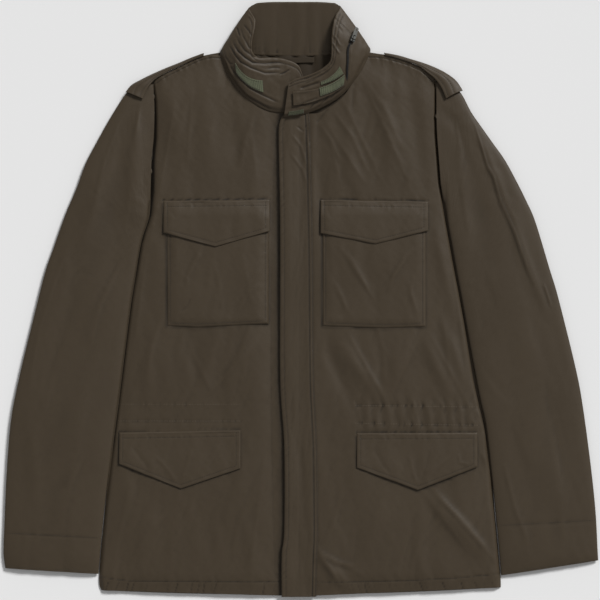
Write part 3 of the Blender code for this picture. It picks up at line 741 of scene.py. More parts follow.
def highest_near(surface: Map, x: Array, y: Array, reach: float) -> Array:
    """A surface's greatest height within reach, so that a piece laid on it stays clear of it."""
    around = [(0.0, 0.0), (reach, 0.0), (-reach, 0.0), (0.0, reach), (0.0, -reach)]
    return np.max([surface(x + dx, y + dy) for dx, dy in around], axis=0)


def hang(patch: Patch, u: Array) -> Array:
    """How far a patch's lower edge hangs below its top edge, at places across it.

    Args:
        patch: The pocket or flap.
        u: Places across.

    Returns:
        The drop.
    """
    left = between(patch.drop_left, patch.tip, u / patch.tip_x)
    right = between(patch.drop_right, patch.tip, (1 - u) / (1 - patch.tip_x))
    return np.where(u <= patch.tip_x, left, right)


def patch_xy(patch: Patch, u: Array, v: Array) -> tuple[Array, Array]:
    """Points of a patch: v runs from its lower edge up to its top edge."""
    return between(patch.left_x, patch.right_x, u), patch.top_y(u) - hang(patch, u) * (1.0 - v)


def inside_patch(patch: Patch, x: Array, y: Array) -> Array:
    """How far inside a patch's outline points lie, in mm; below 0 outside it.

    Args:
        patch: The pocket or flap.
        x: Points' X.
        y: Points' Y.

    Returns:
        The distance.
    """
    u = patch.across(x)
    top = patch.top_y(u)
    low = top - hang(patch, np.clip(u, 0.0, 1.0))
    return np.minimum(np.minimum(x - patch.left_x, patch.right_x - x), np.minimum(top - y, y - low))


# ---------------------------------------------------------------- shells

# How strongly a face's hollows turn into painted shade
HOLLOW_SHADE = 2.6


def add_object(name: str, points: list, faces: list) -> bpy.types.Object:
    """Adds a smooth mesh to the scene.

    Args:
        name: The object's name.
        points: Its points, in metres.
        faces: Each face's points.

    Returns:
        The object, at the origin.
    """
    mesh = bpy.data.meshes.new(name)
    mesh.from_pydata(points, [], faces)
    mesh.polygons.foreach_set("use_smooth", np.ones(len(mesh.polygons), bool))
    mesh.update()
    thing = bpy.data.objects.new(name, mesh)
    bpy.context.scene.collection.objects.link(thing)
    return thing


@dataclass
class Shell:
    """A closed cloth shell with rounded edges, made over a surface in millimetres.

    Its outer face is the surface, and its wall grows inwards from there.
    """

    name: str
    outer: Face
    wide: float
    long: float
    across: int
    along: int
    wall: float
    edge: float = 1.2
    round_tube: bool = False
    inside_step: int = 4
    # Painted shade and painted shadow laid on the piece, at X and Y
    shade: Map | None = None

    def stations(self, count: int, length: float) -> Array:
        """Places from 0 to 1, close together near both ends, where the edge turns.

        Args:
            count: How many lie between the turns.
            length: The length that they share out.

        Returns:
            The places.
        """
        edge = min(self.edge / length, 0.2)
        turn = edge * np.array([0.0, 0.06, 0.22, 0.5])
        return np.concatenate([turn, np.linspace(edge, 1 - edge, count), 1 - turn[::-1]])

    def build(self) -> bpy.types.Object:
        """Makes the shell's object, with a UV map in metres of cloth and an attribute of painted shade.

        Returns:
            The object, at the origin.
        """
        if self.round_tube:
            us = np.linspace(0.0, 1.0, self.across, endpoint=False)
        else:
            us = self.stations(self.across, self.wide)
        vs = self.stations(self.along, self.long)
        u, v = (grid.ravel() for grid in np.meshgrid(us, vs))
        points = self.outer(u, v).reshape(len(vs), len(us), 3)
        normal, hollow = self.lie(points)
        from_edge = np.minimum(vs, 1 - vs)[:, None] * self.long * np.ones(len(us))
        if not self.round_tube:
            from_edge = np.minimum(from_edge, np.minimum(us, 1 - us)[None, :] * self.wide)
        full = np.sqrt(1.0 - (1.0 - np.minimum(from_edge / self.edge, 1.0)) ** 2)[..., None]
        middle = points - normal * self.wall / 2
        top = middle + normal * self.wall / 2 * full
        bottom = middle - normal * self.wall / 2 * full
        for face in (top, bottom):
            face[..., 2] = np.maximum(face[..., 2], 0.0)
        # Painted shade in the hollows, away from the rounded edges, plus the piece's own painted shade
        hollow *= from_edge > 2 * self.edge
        if self.shade:
            hollow += self.shade(points[..., 0], points[..., 1]) / HOLLOW_SHADE
        return self.mesh(top, bottom, us, vs, hollow)

    def lie(self, points: Array) -> tuple[Array, Array]:
        """How the outer face lies at each of its points.

        Args:
            points: The face's points, row by row.

        Returns:
            The normals, and how hollow the face is, which sets its painted shade.
        """
        if self.round_tube:
            right, left = np.roll(points, -1, axis=1), np.roll(points, 1, axis=1)
        else:
            right = np.concatenate([points[:, 1:], points[:, -1:]], axis=1)
            left = np.concatenate([points[:, :1], points[:, :-1]], axis=1)
        up = np.concatenate([points[1:], points[-1:]]) - np.concatenate([points[:1], points[:-1]])
        normal = np.cross(right - left, up)
        normal /= np.maximum(np.linalg.norm(normal, axis=2, keepdims=True), 1e-9)
        hollow = np.zeros(points.shape[:2])
        for before, after in ((left, right), (np.roll(points, 1, axis=0), np.roll(points, -1, axis=0))):
            bend = ((before + after - 2 * points) * normal).sum(axis=2)
            hollow += bend / np.maximum(np.linalg.norm(after - before, axis=2), 0.5)
        return normal, hollow

    def inner_faces(self, below: Array) -> list[tuple[int, ...]]:
        """Faces of the inner wall, in wide cells that no one sees, with fine ones along its edges.

        Args:
            below: The number of each point of the inner wall, row by row.

        Returns:
            Each face's points; a wide cell takes in every point of the fine cells that it meets.
        """
        rows, columns = below.shape
        step = self.inside_step
        first_row, first_column = 3, 0 if self.round_tube else 3
        row_cells = (rows - 1 - 2 * first_row) // step
        column_cells = (columns - 2 * first_column - (0 if self.round_tube else 1)) // step
        last_row, last_column = first_row + row_cells * step, first_column + column_cells * step
        wraps = self.round_tube and last_column == columns
        faces = []
        for j in range(rows - 1):
            for i in range(columns if self.round_tube else columns - 1):
                if first_row <= j < last_row and first_column <= i < last_column:
                    continue
                k = (i + 1) % columns
                faces.append((below[j, i], below[j + 1, i], below[j + 1, k], below[j, k]))
        for j in range(first_row, last_row, step):
            for i in range(first_column, last_column, step):
                up, down = range(j, j + step), range(j + step, j, -1)
                ahead, back = range(i, i + step), range(i + step, i, -1)
                left = up if i == first_column and not wraps else up[:1]
                right = down if i + step == last_column and not wraps else down[:1]
                over = ahead if j + step == last_row else ahead[:1]
                under = back if j == first_row else back[:1]
                ring = [(row, i) for row in left] + [(j + step, column) for column in over]
                ring += [(row, i + step) for row in right] + [(j, column) for column in under]
                faces.append(tuple(below[row, column % columns] for row, column in ring))
        return faces

    def mesh(self, top: Array, bottom: Array, us: Array, vs: Array, hollow: Array) -> bpy.types.Object:
        """Joins the two faces of the shell along its edges.

        Args:
            top: The outer face's points, a row for each of vs.
            bottom: The inner face's points.
            us: Places across.
            vs: Places along.
            hollow: How hollow the outer face is at each point; its seams and troughs get painted shade.

        Returns:
            The object.
        """
        rows, columns = top.shape[:2]
        index = np.arange(rows * columns).reshape(rows, columns)
        below = index + rows * columns
        below[0], below[-1] = index[0], index[-1]
        if not self.round_tube:
            below[:, 0], below[:, -1] = index[:, 0], index[:, -1]
        last = columns if self.round_tube else columns - 1
        i, j = (grid.ravel() for grid in np.meshgrid(np.arange(last), np.arange(rows - 1)))
        i2 = (i + 1) % columns
        u_end = np.append(us, 1.0)
        place = [(i, j), (i + 1, j), (i + 1, j + 1), (i, j + 1)]
        corners = [(j, i), (j, i2), (j + 1, i2), (j + 1, i)]
        outside = np.stack([index[corner] for corner in corners], axis=1).ravel()
        uv = np.stack([np.stack([u_end[a], vs[b]], 1) for a, b in place], 1).reshape(-1, 2)
        inside = self.inner_faces(below)
        turned = np.array([point for face in inside for point in face])
        at_u, at_v = (grid.ravel()[turned % (rows * columns)] for grid in np.meshgrid(us, vs))
        uv = np.concatenate([uv, np.stack([at_u, at_v], 1)]) * (self.wide * MM, self.long * MM)
        points = np.concatenate([top.reshape(-1, 3), bottom.reshape(-1, 3)]) * MM
        used, renumbered = np.unique(np.concatenate([outside, turned]), return_inverse=True)
        faces = renumbered[: len(outside)].reshape(-1, 4).tolist()
        ends = np.cumsum([len(face) for face in inside])[:-1]
        faces += [part.tolist() for part in np.split(renumbered[len(outside) :], ends)]
        thing = add_object(self.name, points[used].tolist(), faces)
        layer = thing.data.uv_layers.new(name="Cloth")
        layer.data.foreach_set("uv", uv.astype(np.float32).ravel())
        # The painted shade, kept as a point attribute; the inner face's hollows bend the other way
        shade = np.clip(np.concatenate([hollow.ravel(), -hollow.ravel()])[used] * HOLLOW_SHADE, 0.0, 1.0)
        layer = thing.data.attributes.new("Hollow", "FLOAT", "POINT")
        layer.data.foreach_set("value", shade.astype(np.float32))
        return thing


# Where a stitch's rings stand in its pitch, and how far they lift off the cloth, mm
STITCH_RINGS = ((0.0, -0.25), (0.18, 0.16), (0.55, 0.16), (0.72, -0.25))
STITCH_START = 0.14
STITCH_TURN = 0.3


@dataclass
class Thread:
    """Rows of stitches, all in one mesh: each stitch is a short thread that dips in at both ends."""

    name: str
    pitch: float = 3.4
    thick: float = 0.55
    points: list[Array] = field(default_factory=list)

    def row(self, line: Array, normals: Array) -> None:
        """Adds stitches along a line.

        Args:
            line: Points of the line in mm, close together.
            normals: The cloth's normal at each point.
        """
        steps = np.linalg.norm(np.diff(line, axis=0), axis=1)
        run = np.concatenate([[0.0], np.cumsum(steps)])
        count = int(run[-1] / self.pitch)
        if count < 1:
            return

        def on_line(at: Array, values: Array) -> Array:
            """Values of the line's points at lengths along it."""
            return np.stack([np.interp(at, run, values[:, k]) for k in range(3)], 1)

        starts = (np.arange(count) + STITCH_START) * self.pitch
        rings = []
        for share, lift in STITCH_RINGS:
            at = starts + share * self.pitch
            centre, up = on_line(at, line), on_line(at, normals)
            up /= np.linalg.norm(up, axis=1, keepdims=True)
            side = np.cross(up, on_line(at + STITCH_TURN, line) - on_line(at - STITCH_TURN, line))
            side /= np.maximum(np.linalg.norm(side, axis=1, keepdims=True), 1e-9)
            centre = centre + up * lift
            half = self.thick / 2
            ring = [centre + side * half, centre + up * half, centre - side * half, centre - up * half]
            rings.append(np.stack(ring, 1))
        self.points.append(np.stack(rings, 1))

    def build(self) -> bpy.types.Object:
        """Makes the mesh of all rows.

        Returns:
            The object, at the origin.
        """
        stitches = np.concatenate(self.points)
        pattern = []
        for ring in range(3):
            for k in range(4):
                a, b = ring * 4 + k, ring * 4 + (k + 1) % 4
                pattern.append((a, b, b + 4, a + 4))
        pattern += [(3, 2, 1, 0), (12, 13, 14, 15)]
        first = np.arange(len(stitches))[:, None, None] * 4 * len(STITCH_RINGS)
        faces = (np.array(pattern)[None] + first).reshape(-1, 4)
        return add_object(self.name, (stitches.reshape(-1, 3) * MM).tolist(), faces.tolist())


# ---------------------------------------------------------------- finishes


class Socket:
    """A socket of a node tree; arithmetic on it adds Math nodes."""

    def __init__(self, tree: "Finish", socket: bpy.types.NodeSocket) -> None:
        """Wraps a socket of a finish's tree."""
        self.tree = tree
        self.socket = socket

    def _math(self, operation: str, *values: "Socket | float") -> "Socket":
        """Adds a Math node over values."""
        return self.tree.node("ShaderNodeMath", {"operation": operation}, dict(enumerate(values)))

    def __add__(self, other: "Socket | float") -> "Socket":
        """Sum."""
        return self._math("ADD", self, other)

    def __mul__(self, other: "Socket | float") -> "Socket":
        """Product."""
        return self._math("MULTIPLY", self, other)

    def __sub__(self, other: "Socket | float") -> "Socket":
        """Difference."""
        return self._math("SUBTRACT", self, other)

    def __rsub__(self, other: float) -> "Socket":
        """Difference from a number."""
        return self._math("SUBTRACT", other, self)

    __radd__ = __add__
    __rmul__ = __mul__

    def sine(self) -> "Socket":
        """Sine of the value."""
        return self._math("SINE", self)

    def held(self) -> "Socket":
        """The value kept from 0 to 1."""
        return self.tree.node("ShaderNodeClamp", {}, {0: self})


class Finish:
    """A material, built node by node."""

    def __init__(self, name: str) -> None:
        """Makes the material and keeps its shader.

        Args:
            name: The material's name.
        """
        self.material = bpy.data.materials.new(name)
        self.material.use_nodes = True
        self.nodes = self.material.node_tree.nodes
        self.links = self.material.node_tree.links
        self.shader = self.nodes["Principled BSDF"]

    def node(self, kind: str, settings: dict, inputs: dict, output: int | str = 0) -> Socket:
        """Adds any node.

        Args:
            kind: The node's type.
            settings: Its settings, set before its sockets; "stops" are a ramp's places and colours.
            inputs: Values or links by socket name or number.
            output: The socket that is returned.

        Returns:
            The output.
        """
        node = self.nodes.new(kind)
        for key, value in settings.items():
            if key == "stops":
                for element, (place, colour) in zip(node.color_ramp.elements, value):
                    element.position, element.color = place, (*colour, 1.0)
            else:
                setattr(node, key, value)
        for key, value in inputs.items():
            self.feed(node.inputs[key], value)
        return Socket(self, node.outputs[output])

    def feed(self, socket: bpy.types.NodeSocket, value: "Socket | float | tuple") -> None:
        """Links a socket to another one, or sets its value.

        Args:
            socket: The socket.
            value: What it gets.
        """
        if isinstance(value, Socket):
            self.links.new(value.socket, socket)
        else:
            socket.default_value = value

    def set(self, **inputs: "Socket | float | tuple") -> None:
        """Sets or links the shader's sockets; an underscore stands for a space."""
        for key, value in inputs.items():
            self.feed(self.shader.inputs[key.replace("_", " ")], value)

    def cloth_place(self) -> Socket:
        """The place on the cloth, in metres along its threads."""
        return self.node("ShaderNodeUVMap", {"uv_map": "Cloth"}, {})

    def object_place(self) -> Socket:
        """The place in the object."""
        return self.node("ShaderNodeTexCoord", {}, {}, "Object")

    def grain(self, place: Socket, scale: float, detail: float) -> Socket:
        """Noise over a place."""
        return self.node("ShaderNodeTexNoise", {}, {"Vector": place, "Scale": scale, "Detail": detail})

    def mixed(self, share: Socket, low: "Socket | tuple", high: "Socket | tuple") -> Socket:
        """A colour between two others."""
        low, high = (end if isinstance(end, Socket) else (*end, 1.0) for end in (low, high))
        return self.node("ShaderNodeMix", {"data_type": "RGBA"}, {"Factor": share, 6: low, 7: high}, 2)

    def bump(self, strength: float, height: Socket) -> Socket:
        """The normal of a surface with a fine relief, its height in metres."""
        return self.node("ShaderNodeBump", {}, {"Strength": strength, "Distance": 1.0, "Height": height})


def toned(colour: tuple[float, float, float], by: float) -> tuple[float, ...]:
    """A colour made darker or lighter."""
    return tuple(min(1.0, value * by) for value in colour)


@dataclass(frozen=True)
class Cloth:
    """Woven cloth: a fine plain weave, faint crinkles, slow changes of tone, and painted shade in its
    hollows.
    """

    name: str
    colour: tuple[float, float, float]
    tone: float = 0.12
    roughness: float = 0.52
    sheen: float = 0.03
    thread: float = 0.00034
    weave: float = 0.00002
    crinkle: float = 0.35
    # How dark the painted shade in the cloth's hollows is, as a share of its colour
    painted_shade_tone: float = 0.2

    def material(self) -> bpy.types.Material:
        """Makes the cloth's material.

        Returns:
            The material.
        """
        finish = Finish(self.name)
        place = finish.object_place()
        slow, fine = finish.grain(place, 9.0, 3.0), finish.grain(place, 160.0, 4.0)
        crumple = finish.grain(place, 46.0, 5.0)
        apart = finish.node("ShaderNodeSeparateXYZ", {}, {0: finish.cloth_place()}, "X")
        up = Socket(finish, apart.socket.node.outputs["Y"])
        step = 2 * math.pi / self.thread
        woven = (apart * step).sine() * (up * step).sine()
        mix = (slow - 0.5) * (2.6 * self.tone) + (fine - 0.5) * (1.7 * self.tone) + woven * 0.03 + 0.5
        dark, light = toned(self.colour, 1 - 2 * self.tone), toned(self.colour, 1 + 2 * self.tone)
        even = finish.mixed(mix.held(), dark, light)
        # Painted shade: the colour darkens by the shell's attribute of painted shade
        hollow = finish.node("ShaderNodeAttribute", {"attribute_name": "Hollow"}, {}, "Fac")
        colour = finish.mixed(hollow.held(), even, toned(self.colour, self.painted_shade_tone))
        rough = (fine - 0.5) * 0.16 + (slow - 0.5) * 0.12 + self.roughness
        height = woven * self.weave + crumple * (0.0006 * self.crinkle) + fine * (0.00012 * self.crinkle)
        bump = finish.bump(0.6, height)
        finish.set(Base_Color=colour, Roughness=rough, Normal=bump)
        finish.set(Sheen_Weight=self.sheen, Sheen_Roughness=0.5, Specular_IOR_Level=0.25)
        return finish.material


@dataclass(frozen=True)
class Pile:
    """A touch fastener's pile: short hooked fibres in rows."""

    name: str
    colour: tuple[float, float, float]
    rows: float = 0.0022

    def material(self) -> bpy.types.Material:
        """Makes the pile's material.

        Returns:
            The material.
        """
        finish = Finish(self.name)
        place = finish.object_place()
        fuzz, slow = finish.grain(place, 900.0, 3.0), finish.grain(place, 60.0, 2.0)
        apart = finish.node("ShaderNodeSeparateXYZ", {}, {0: finish.cloth_place()}, "X")
        ribs = (apart * (2 * math.pi / self.rows)).sine() * 0.5 + 0.5
        mix = (ribs * 0.45 + (fuzz - 0.5) * 0.9 + (slow - 0.5) * 0.5 + 0.25).held()
        colour = finish.mixed(mix, toned(self.colour, 0.55), toned(self.colour, 1.35))
        bump = finish.bump(0.8, ribs * 0.0003 + fuzz * 0.0004)
        finish.set(Base_Color=colour, Normal=bump, Roughness=0.95)
        finish.set(Sheen_Weight=0.3, Specular_IOR_Level=0.2)
        return finish.material


@dataclass(frozen=True)
class Metal:
    """Grey die-cast metal, tumbled, its tone a little worn in random patches."""

    name: str
    colour: tuple[float, float, float]

    def material(self) -> bpy.types.Material:
        """Makes the metal's material.

        Returns:
            The material.
        """
        finish = Finish(self.name)
        place = finish.object_place()
        grain, worn = finish.grain(place, 700.0, 4.0), finish.grain(place, 220.0, 2.0)
        colour = finish.mixed(worn, toned(self.colour, 0.6), toned(self.colour, 1.3))
        rough = grain * 0.2 + 0.42
        bump = finish.bump(0.3, grain * 0.00008)
        finish.set(Base_Color=colour, Roughness=rough, Normal=bump, Metallic=1.0)
        return finish.material


@dataclass(frozen=True)
class Plain:
    """A plain matt surface with a slight mottle, for thread, zip coil and the floor."""

    name: str
    colour: tuple[float, float, float]
    roughness: float = 0.7
    mottle: float = 0.08
    scale: float = 400.0

    def material(self) -> bpy.types.Material:
        """Makes the material.

        Returns:
            The material.
        """
        finish = Finish(self.name)
        speckle = finish.grain(finish.object_place(), self.scale, 3.0)
        colour = finish.mixed(
            speckle, toned(self.colour, 1 - self.mottle), toned(self.colour, 1 + self.mottle)
        )
        finish.set(Base_Color=colour, Roughness=speckle * 0.1 + (self.roughness - 0.05))
        return finish.material


class Finishes:
    """The jacket's finishes, each made once."""

    def __init__(self) -> None:
        """Makes every finish."""
        self.shell = Cloth("shell_nylon", (0.0488, 0.0350, 0.0204)).material()
        self.lining = Cloth("lining_cloth", (0.026, 0.0175, 0.0085), roughness=0.7).material()
        self.pile = Pile("fastener_pile", (0.088, 0.096, 0.058)).material()
        # A darker copy of the pile, with painted shade, for the placket's pad
        self.shaded_pile = Pile("fastener_pile_painted_shade", (0.047, 0.051, 0.029)).material()
        self.thread = Plain("sewing_thread", (0.033, 0.024, 0.014), 0.7, 0.15).material()
        self.pale_thread = Plain("waist_thread", (0.125, 0.098, 0.068), 0.6, 0.25).material()
        self.metal = Metal("zip_metal", (0.075, 0.075, 0.07)).material()
        self.tape = Plain("zip_tape", (0.006, 0.005, 0.005), 0.85, 0.3, 900.0).material()


# ---------------------------------------------------------------- pieces

# How far apart a row's points are, and how far from them its slope is read, mm and share of a face
ROW_STEP, SLOPE_STEP, FACE_STEP = 1.2, 0.5, 0.002


@dataclass
class Jacket:
    """What every sub-assembly shares: its finishes and the bodies that pieces ride on."""

    finishes: Finishes
    body: str = "jacket"

    def dress(
        self, thing: bpy.types.Object, material: bpy.types.Material, slot: str, *nodes: str
    ) -> bpy.types.Object:
        """Gives a piece its finish and puts it in place of the solids that it stands for.

        Args:
            thing: The piece.
            material: Its finish.
            slot: The record's material slot; not used.
            *nodes: The solids' names.

        Returns:
            The piece.
        """
        thing.data.materials.append(material)
        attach(thing, self.body)
        if nodes:
            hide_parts(*nodes)
        LOG.info("%s: %d faces", thing.name, len(thing.data.polygons))
        return thing

    def lay(self, shell: Shell, node: str) -> bpy.types.Object:
        """Makes a shell of the jacket's own cloth, in place of a solid."""
        return self.dress(shell.build(), self.finishes.shell, "shell_cloth", node)

    def sew(self, thread: Thread, pale: bool = False) -> bpy.types.Object:
        """Adds the stitches as one piece."""
        finish = self.finishes.pale_thread if pale else self.finishes.thread
        return self.dress(thread.build(), finish, "shell_cloth")


def height_row(surface: Map, points: Iterable, thread: Thread) -> None:
    """Sews a row of stitches along a line on a surface that is a height over the table.

    Args:
        surface: Height at X and Y, in mm.
        points: The line's corners.
        thread: What takes the stitches.
    """
    points = list(points)
    for (x1, y1), (x2, y2) in zip(points, points[1:]):
        count = max(2, int(math.hypot(x2 - x1, y2 - y1) / ROW_STEP))
        x, y = np.linspace(x1, x2, count), np.linspace(y1, y2, count)
        slope_x = surface(x + SLOPE_STEP, y) - surface(x - SLOPE_STEP, y)
        slope_y = surface(x, y + SLOPE_STEP) - surface(x, y - SLOPE_STEP)
        normals = np.stack([-slope_x, -slope_y, np.full_like(x, 2 * SLOPE_STEP)], 1)
        thread.row(np.stack([x, y, surface(x, y)], 1), normals)


def face_row(outer: Face, us: Array | float, vs: Array | float, thread: Thread) -> None:
    """Sews a row of stitches along a line on a shell's outer face.

    Args:
        outer: The face.
        us: The line's places across.
        vs: The line's places along.
        thread: What takes the stitches.
    """
    us, vs = np.broadcast_arrays(us, vs)
    across = outer(us + FACE_STEP, vs) - outer(us - FACE_STEP, vs)
    along = outer(us, vs + FACE_STEP) - outer(us, vs - FACE_STEP)
    thread.row(outer(us, vs), np.cross(across, along))


# Lines of stitching on the fronts
HEM_LINE = {
    Side.RIGHT: ((-281, -387), (-240, -392.5), (-142, -393), (-30, -394)),
    Side.LEFT: ((24, -394), (141, -392.5), (222, -388), (280, -382.5)),
}
WAIST_LINES = {
    Side.RIGHT: (((-255, -145.6), (-81, -145.6)), ((-255, -169), (-81, -169))),
    Side.LEFT: (((76, -147), (250, -149.5)), ((76, -172), (250, -175))),
}
SHOULDER_LINE = {
    Side.RIGHT: (
        *((-203, 301.5), (-192, 309), (-178.8, 316), (-164.8, 322.9), (-150.8, 329.8)),
        *((-137, 335.8), (-124.7, 338.4), (-111, 338)),
    ),
    Side.LEFT: (
        *((187, 304.5), (175.5, 314.5), (166.7, 321.2), (152.7, 327.4), (136.8, 332.6)),
        *((117, 337.8), (106.8, 339), (96, 339.5)),
    ),
}
# How deep and how far in a front's outer edge rolls down beside the sleeve
SIDE_ROLL, SIDE_ROLL_WIDE = 2.6, 4.5
# How wide the gap beside each sleeve is, at heights in Y: the width of its painted shade, and how far the
# front's edge rolls down
GAP_WIDTH = {
    Side.RIGHT: (
        (62, 92, 118, 134, 150, 185, 224, 252, 272, 292, 300),
        (1.6, 2.2, 4.2, 7.0, 9.0, 7.6, 7.2, 5.2, 3.2, 1.8, 0.8),
    ),
    Side.LEFT: ((-200, -110, 30, 122, 170, 232, 262, 300), (2.2, 1.8, 1.0, 1.4, 2.2, 1.6, 0.9, 0.6)),
}
# The part of a front's edge where the gap beside the sleeve gets painted shade
GAP_TOP_Y, GAP_FOOT_Y = 302.0, -215.0
PRESSED = {
    Side.RIGHT: [
        Fold(-176, 268, -196, 150, 3.5, 0.5),
        Fold(-150, 300, -158, 180, 4.0, 0.45),
        Fold(-70, 250, -60, 160, 5.0, 0.5),
        Fold(-215, 60, -232, -60, 4.0, 0.6),
        Fold(-60, -60, -130, -132, 4.0, 0.7),
        Fold(-160, -50, -120, -136, 4.0, 0.5),
        Fold(-50, -230, -70, -380, 5.0, 0.6),
        Fold(-150, -282, -190, -372, 5.0, 0.5),
        Fold(-236, -250, -258, -360, 5.0, 0.5),
    ],
    Side.LEFT: [
        Fold(34, 252, 92, 160, 4.5, 0.7),
        Fold(60, 280, 112, 170, 4.5, 0.6),
        Fold(86, 312, 150, 168, 4.5, 0.7),
        Fold(40, 230, 58, 156, 4.0, 0.5),
        Fold(66, -44, 120, -142, 4.0, 0.8),
        Fold(170, -44, 122, -142, 4.0, 0.7),
        Fold(180, -44, 232, -140, 4.0, 0.6),
        Fold(185, -262, 274, -366, 4.0, 1.0),
        Fold(174, -270, 236, -352, 4.0, 0.7),
        Fold(26, -350, 60, -402, 3.5, 0.7),
        Fold(26, -350, 92, -386, 3.5, 0.6),
        Fold(216, 30, 236, -120, 4.0, 0.6),
    ],
}
WRINKLES = {
    Side.RIGHT: [
        Wrinkle(((-198, 136), (-204, 118), (-207, 98)), 3.2, 0.56),
        Wrinkle(((-214, 112), (-222, 60), (-226, 20)), 3.8, 0.56),
        Wrinkle(((-190, -18), (-206, -60), (-214, -112)), 4.1, 0.4),
        Wrinkle(((-60, -20), (-82, -70), (-112, -128)), 4.1, 0.44),
        Wrinkle(((-96, 300), (-118, 262), (-130, 214)), 4.1, 0.4),
        Wrinkle(((-62, 262), (-78, 222), (-84, 178)), 3.5, 0.4),
        Wrinkle(((-180, -286), (-214, -330), (-236, -372)), 3.8, 0.4),
        Wrinkle(((-56, -262), (-84, -310), (-96, -366)), 4.1, 0.36),
    ],
    Side.LEFT: [
        Wrinkle(((40, 269), (32, 258), (21.5, 246)), 2.4, -0.64),
        Wrinkle(((78, 308), (74, 292), (72.8, 262)), 3.2, -0.56),
        Wrinkle(((24, 250), (44, 222), (58, 188)), 3.2, 0.48),
        Wrinkle(((44, 268), (74, 226), (96, 176)), 3.5, 0.48),
        Wrinkle(((86, 316), (120, 262), (150, 196)), 4.1, 0.4),
        Wrinkle(((60, -262), (48, -310), (30, -352)), 3.5, 0.4),
        Wrinkle(((24, -350), (50, -366), (82, -372)), 2.7, 0.48),
        Wrinkle(((24, -352), (44, -380), (56, -402)), 2.7, 0.48),
        Wrinkle(((182, -264), (226, -306), (268, -356)), 3.5, 0.64),
        Wrinkle(((248, -150), (256, -172), (262, -204)), 2.4, 0.56),
        Wrinkle(((250, -206), (264, -232), (268, -262)), 2.4, 0.48),
        Wrinkle(((104, -20), (116, -70), (120, -128)), 4.1, 0.4),
        Wrinkle(((196, -10), (206, -70), (214, -130)), 4.1, 0.4),
    ],
}
# The short creases between the hem's stitching and its edge
HEM_SEED, HEM_STEP = 71, 9.0
HEM_CREASE_FROM, HEM_CREASE_TO = 34.0, 272.0
HEM_CREASE_TOP_Y, HEM_CREASE_FOOT_Y = -395.0, -411.0
# How wide the painted shadow at the foot of a pocket or flap is
CONTACT_WIDE = 2.0
WAVE_SEED = 10
# Half of the smooth strip under the placket, and over how far the relief eases in beyond it
UNDER_PLACKET, UNDER_PLACKET_EASE = 17.0, 8.0
# The painted shadow beside the placket's open edge: how dark, how wide, and where it ends at the top
PLACKET_SHADE, PLACKET_SHADE_WIDE, PLACKET_SHADE_TOP_Y = 0.55, 7.0, 262.0
HEM_BOW = 8.0


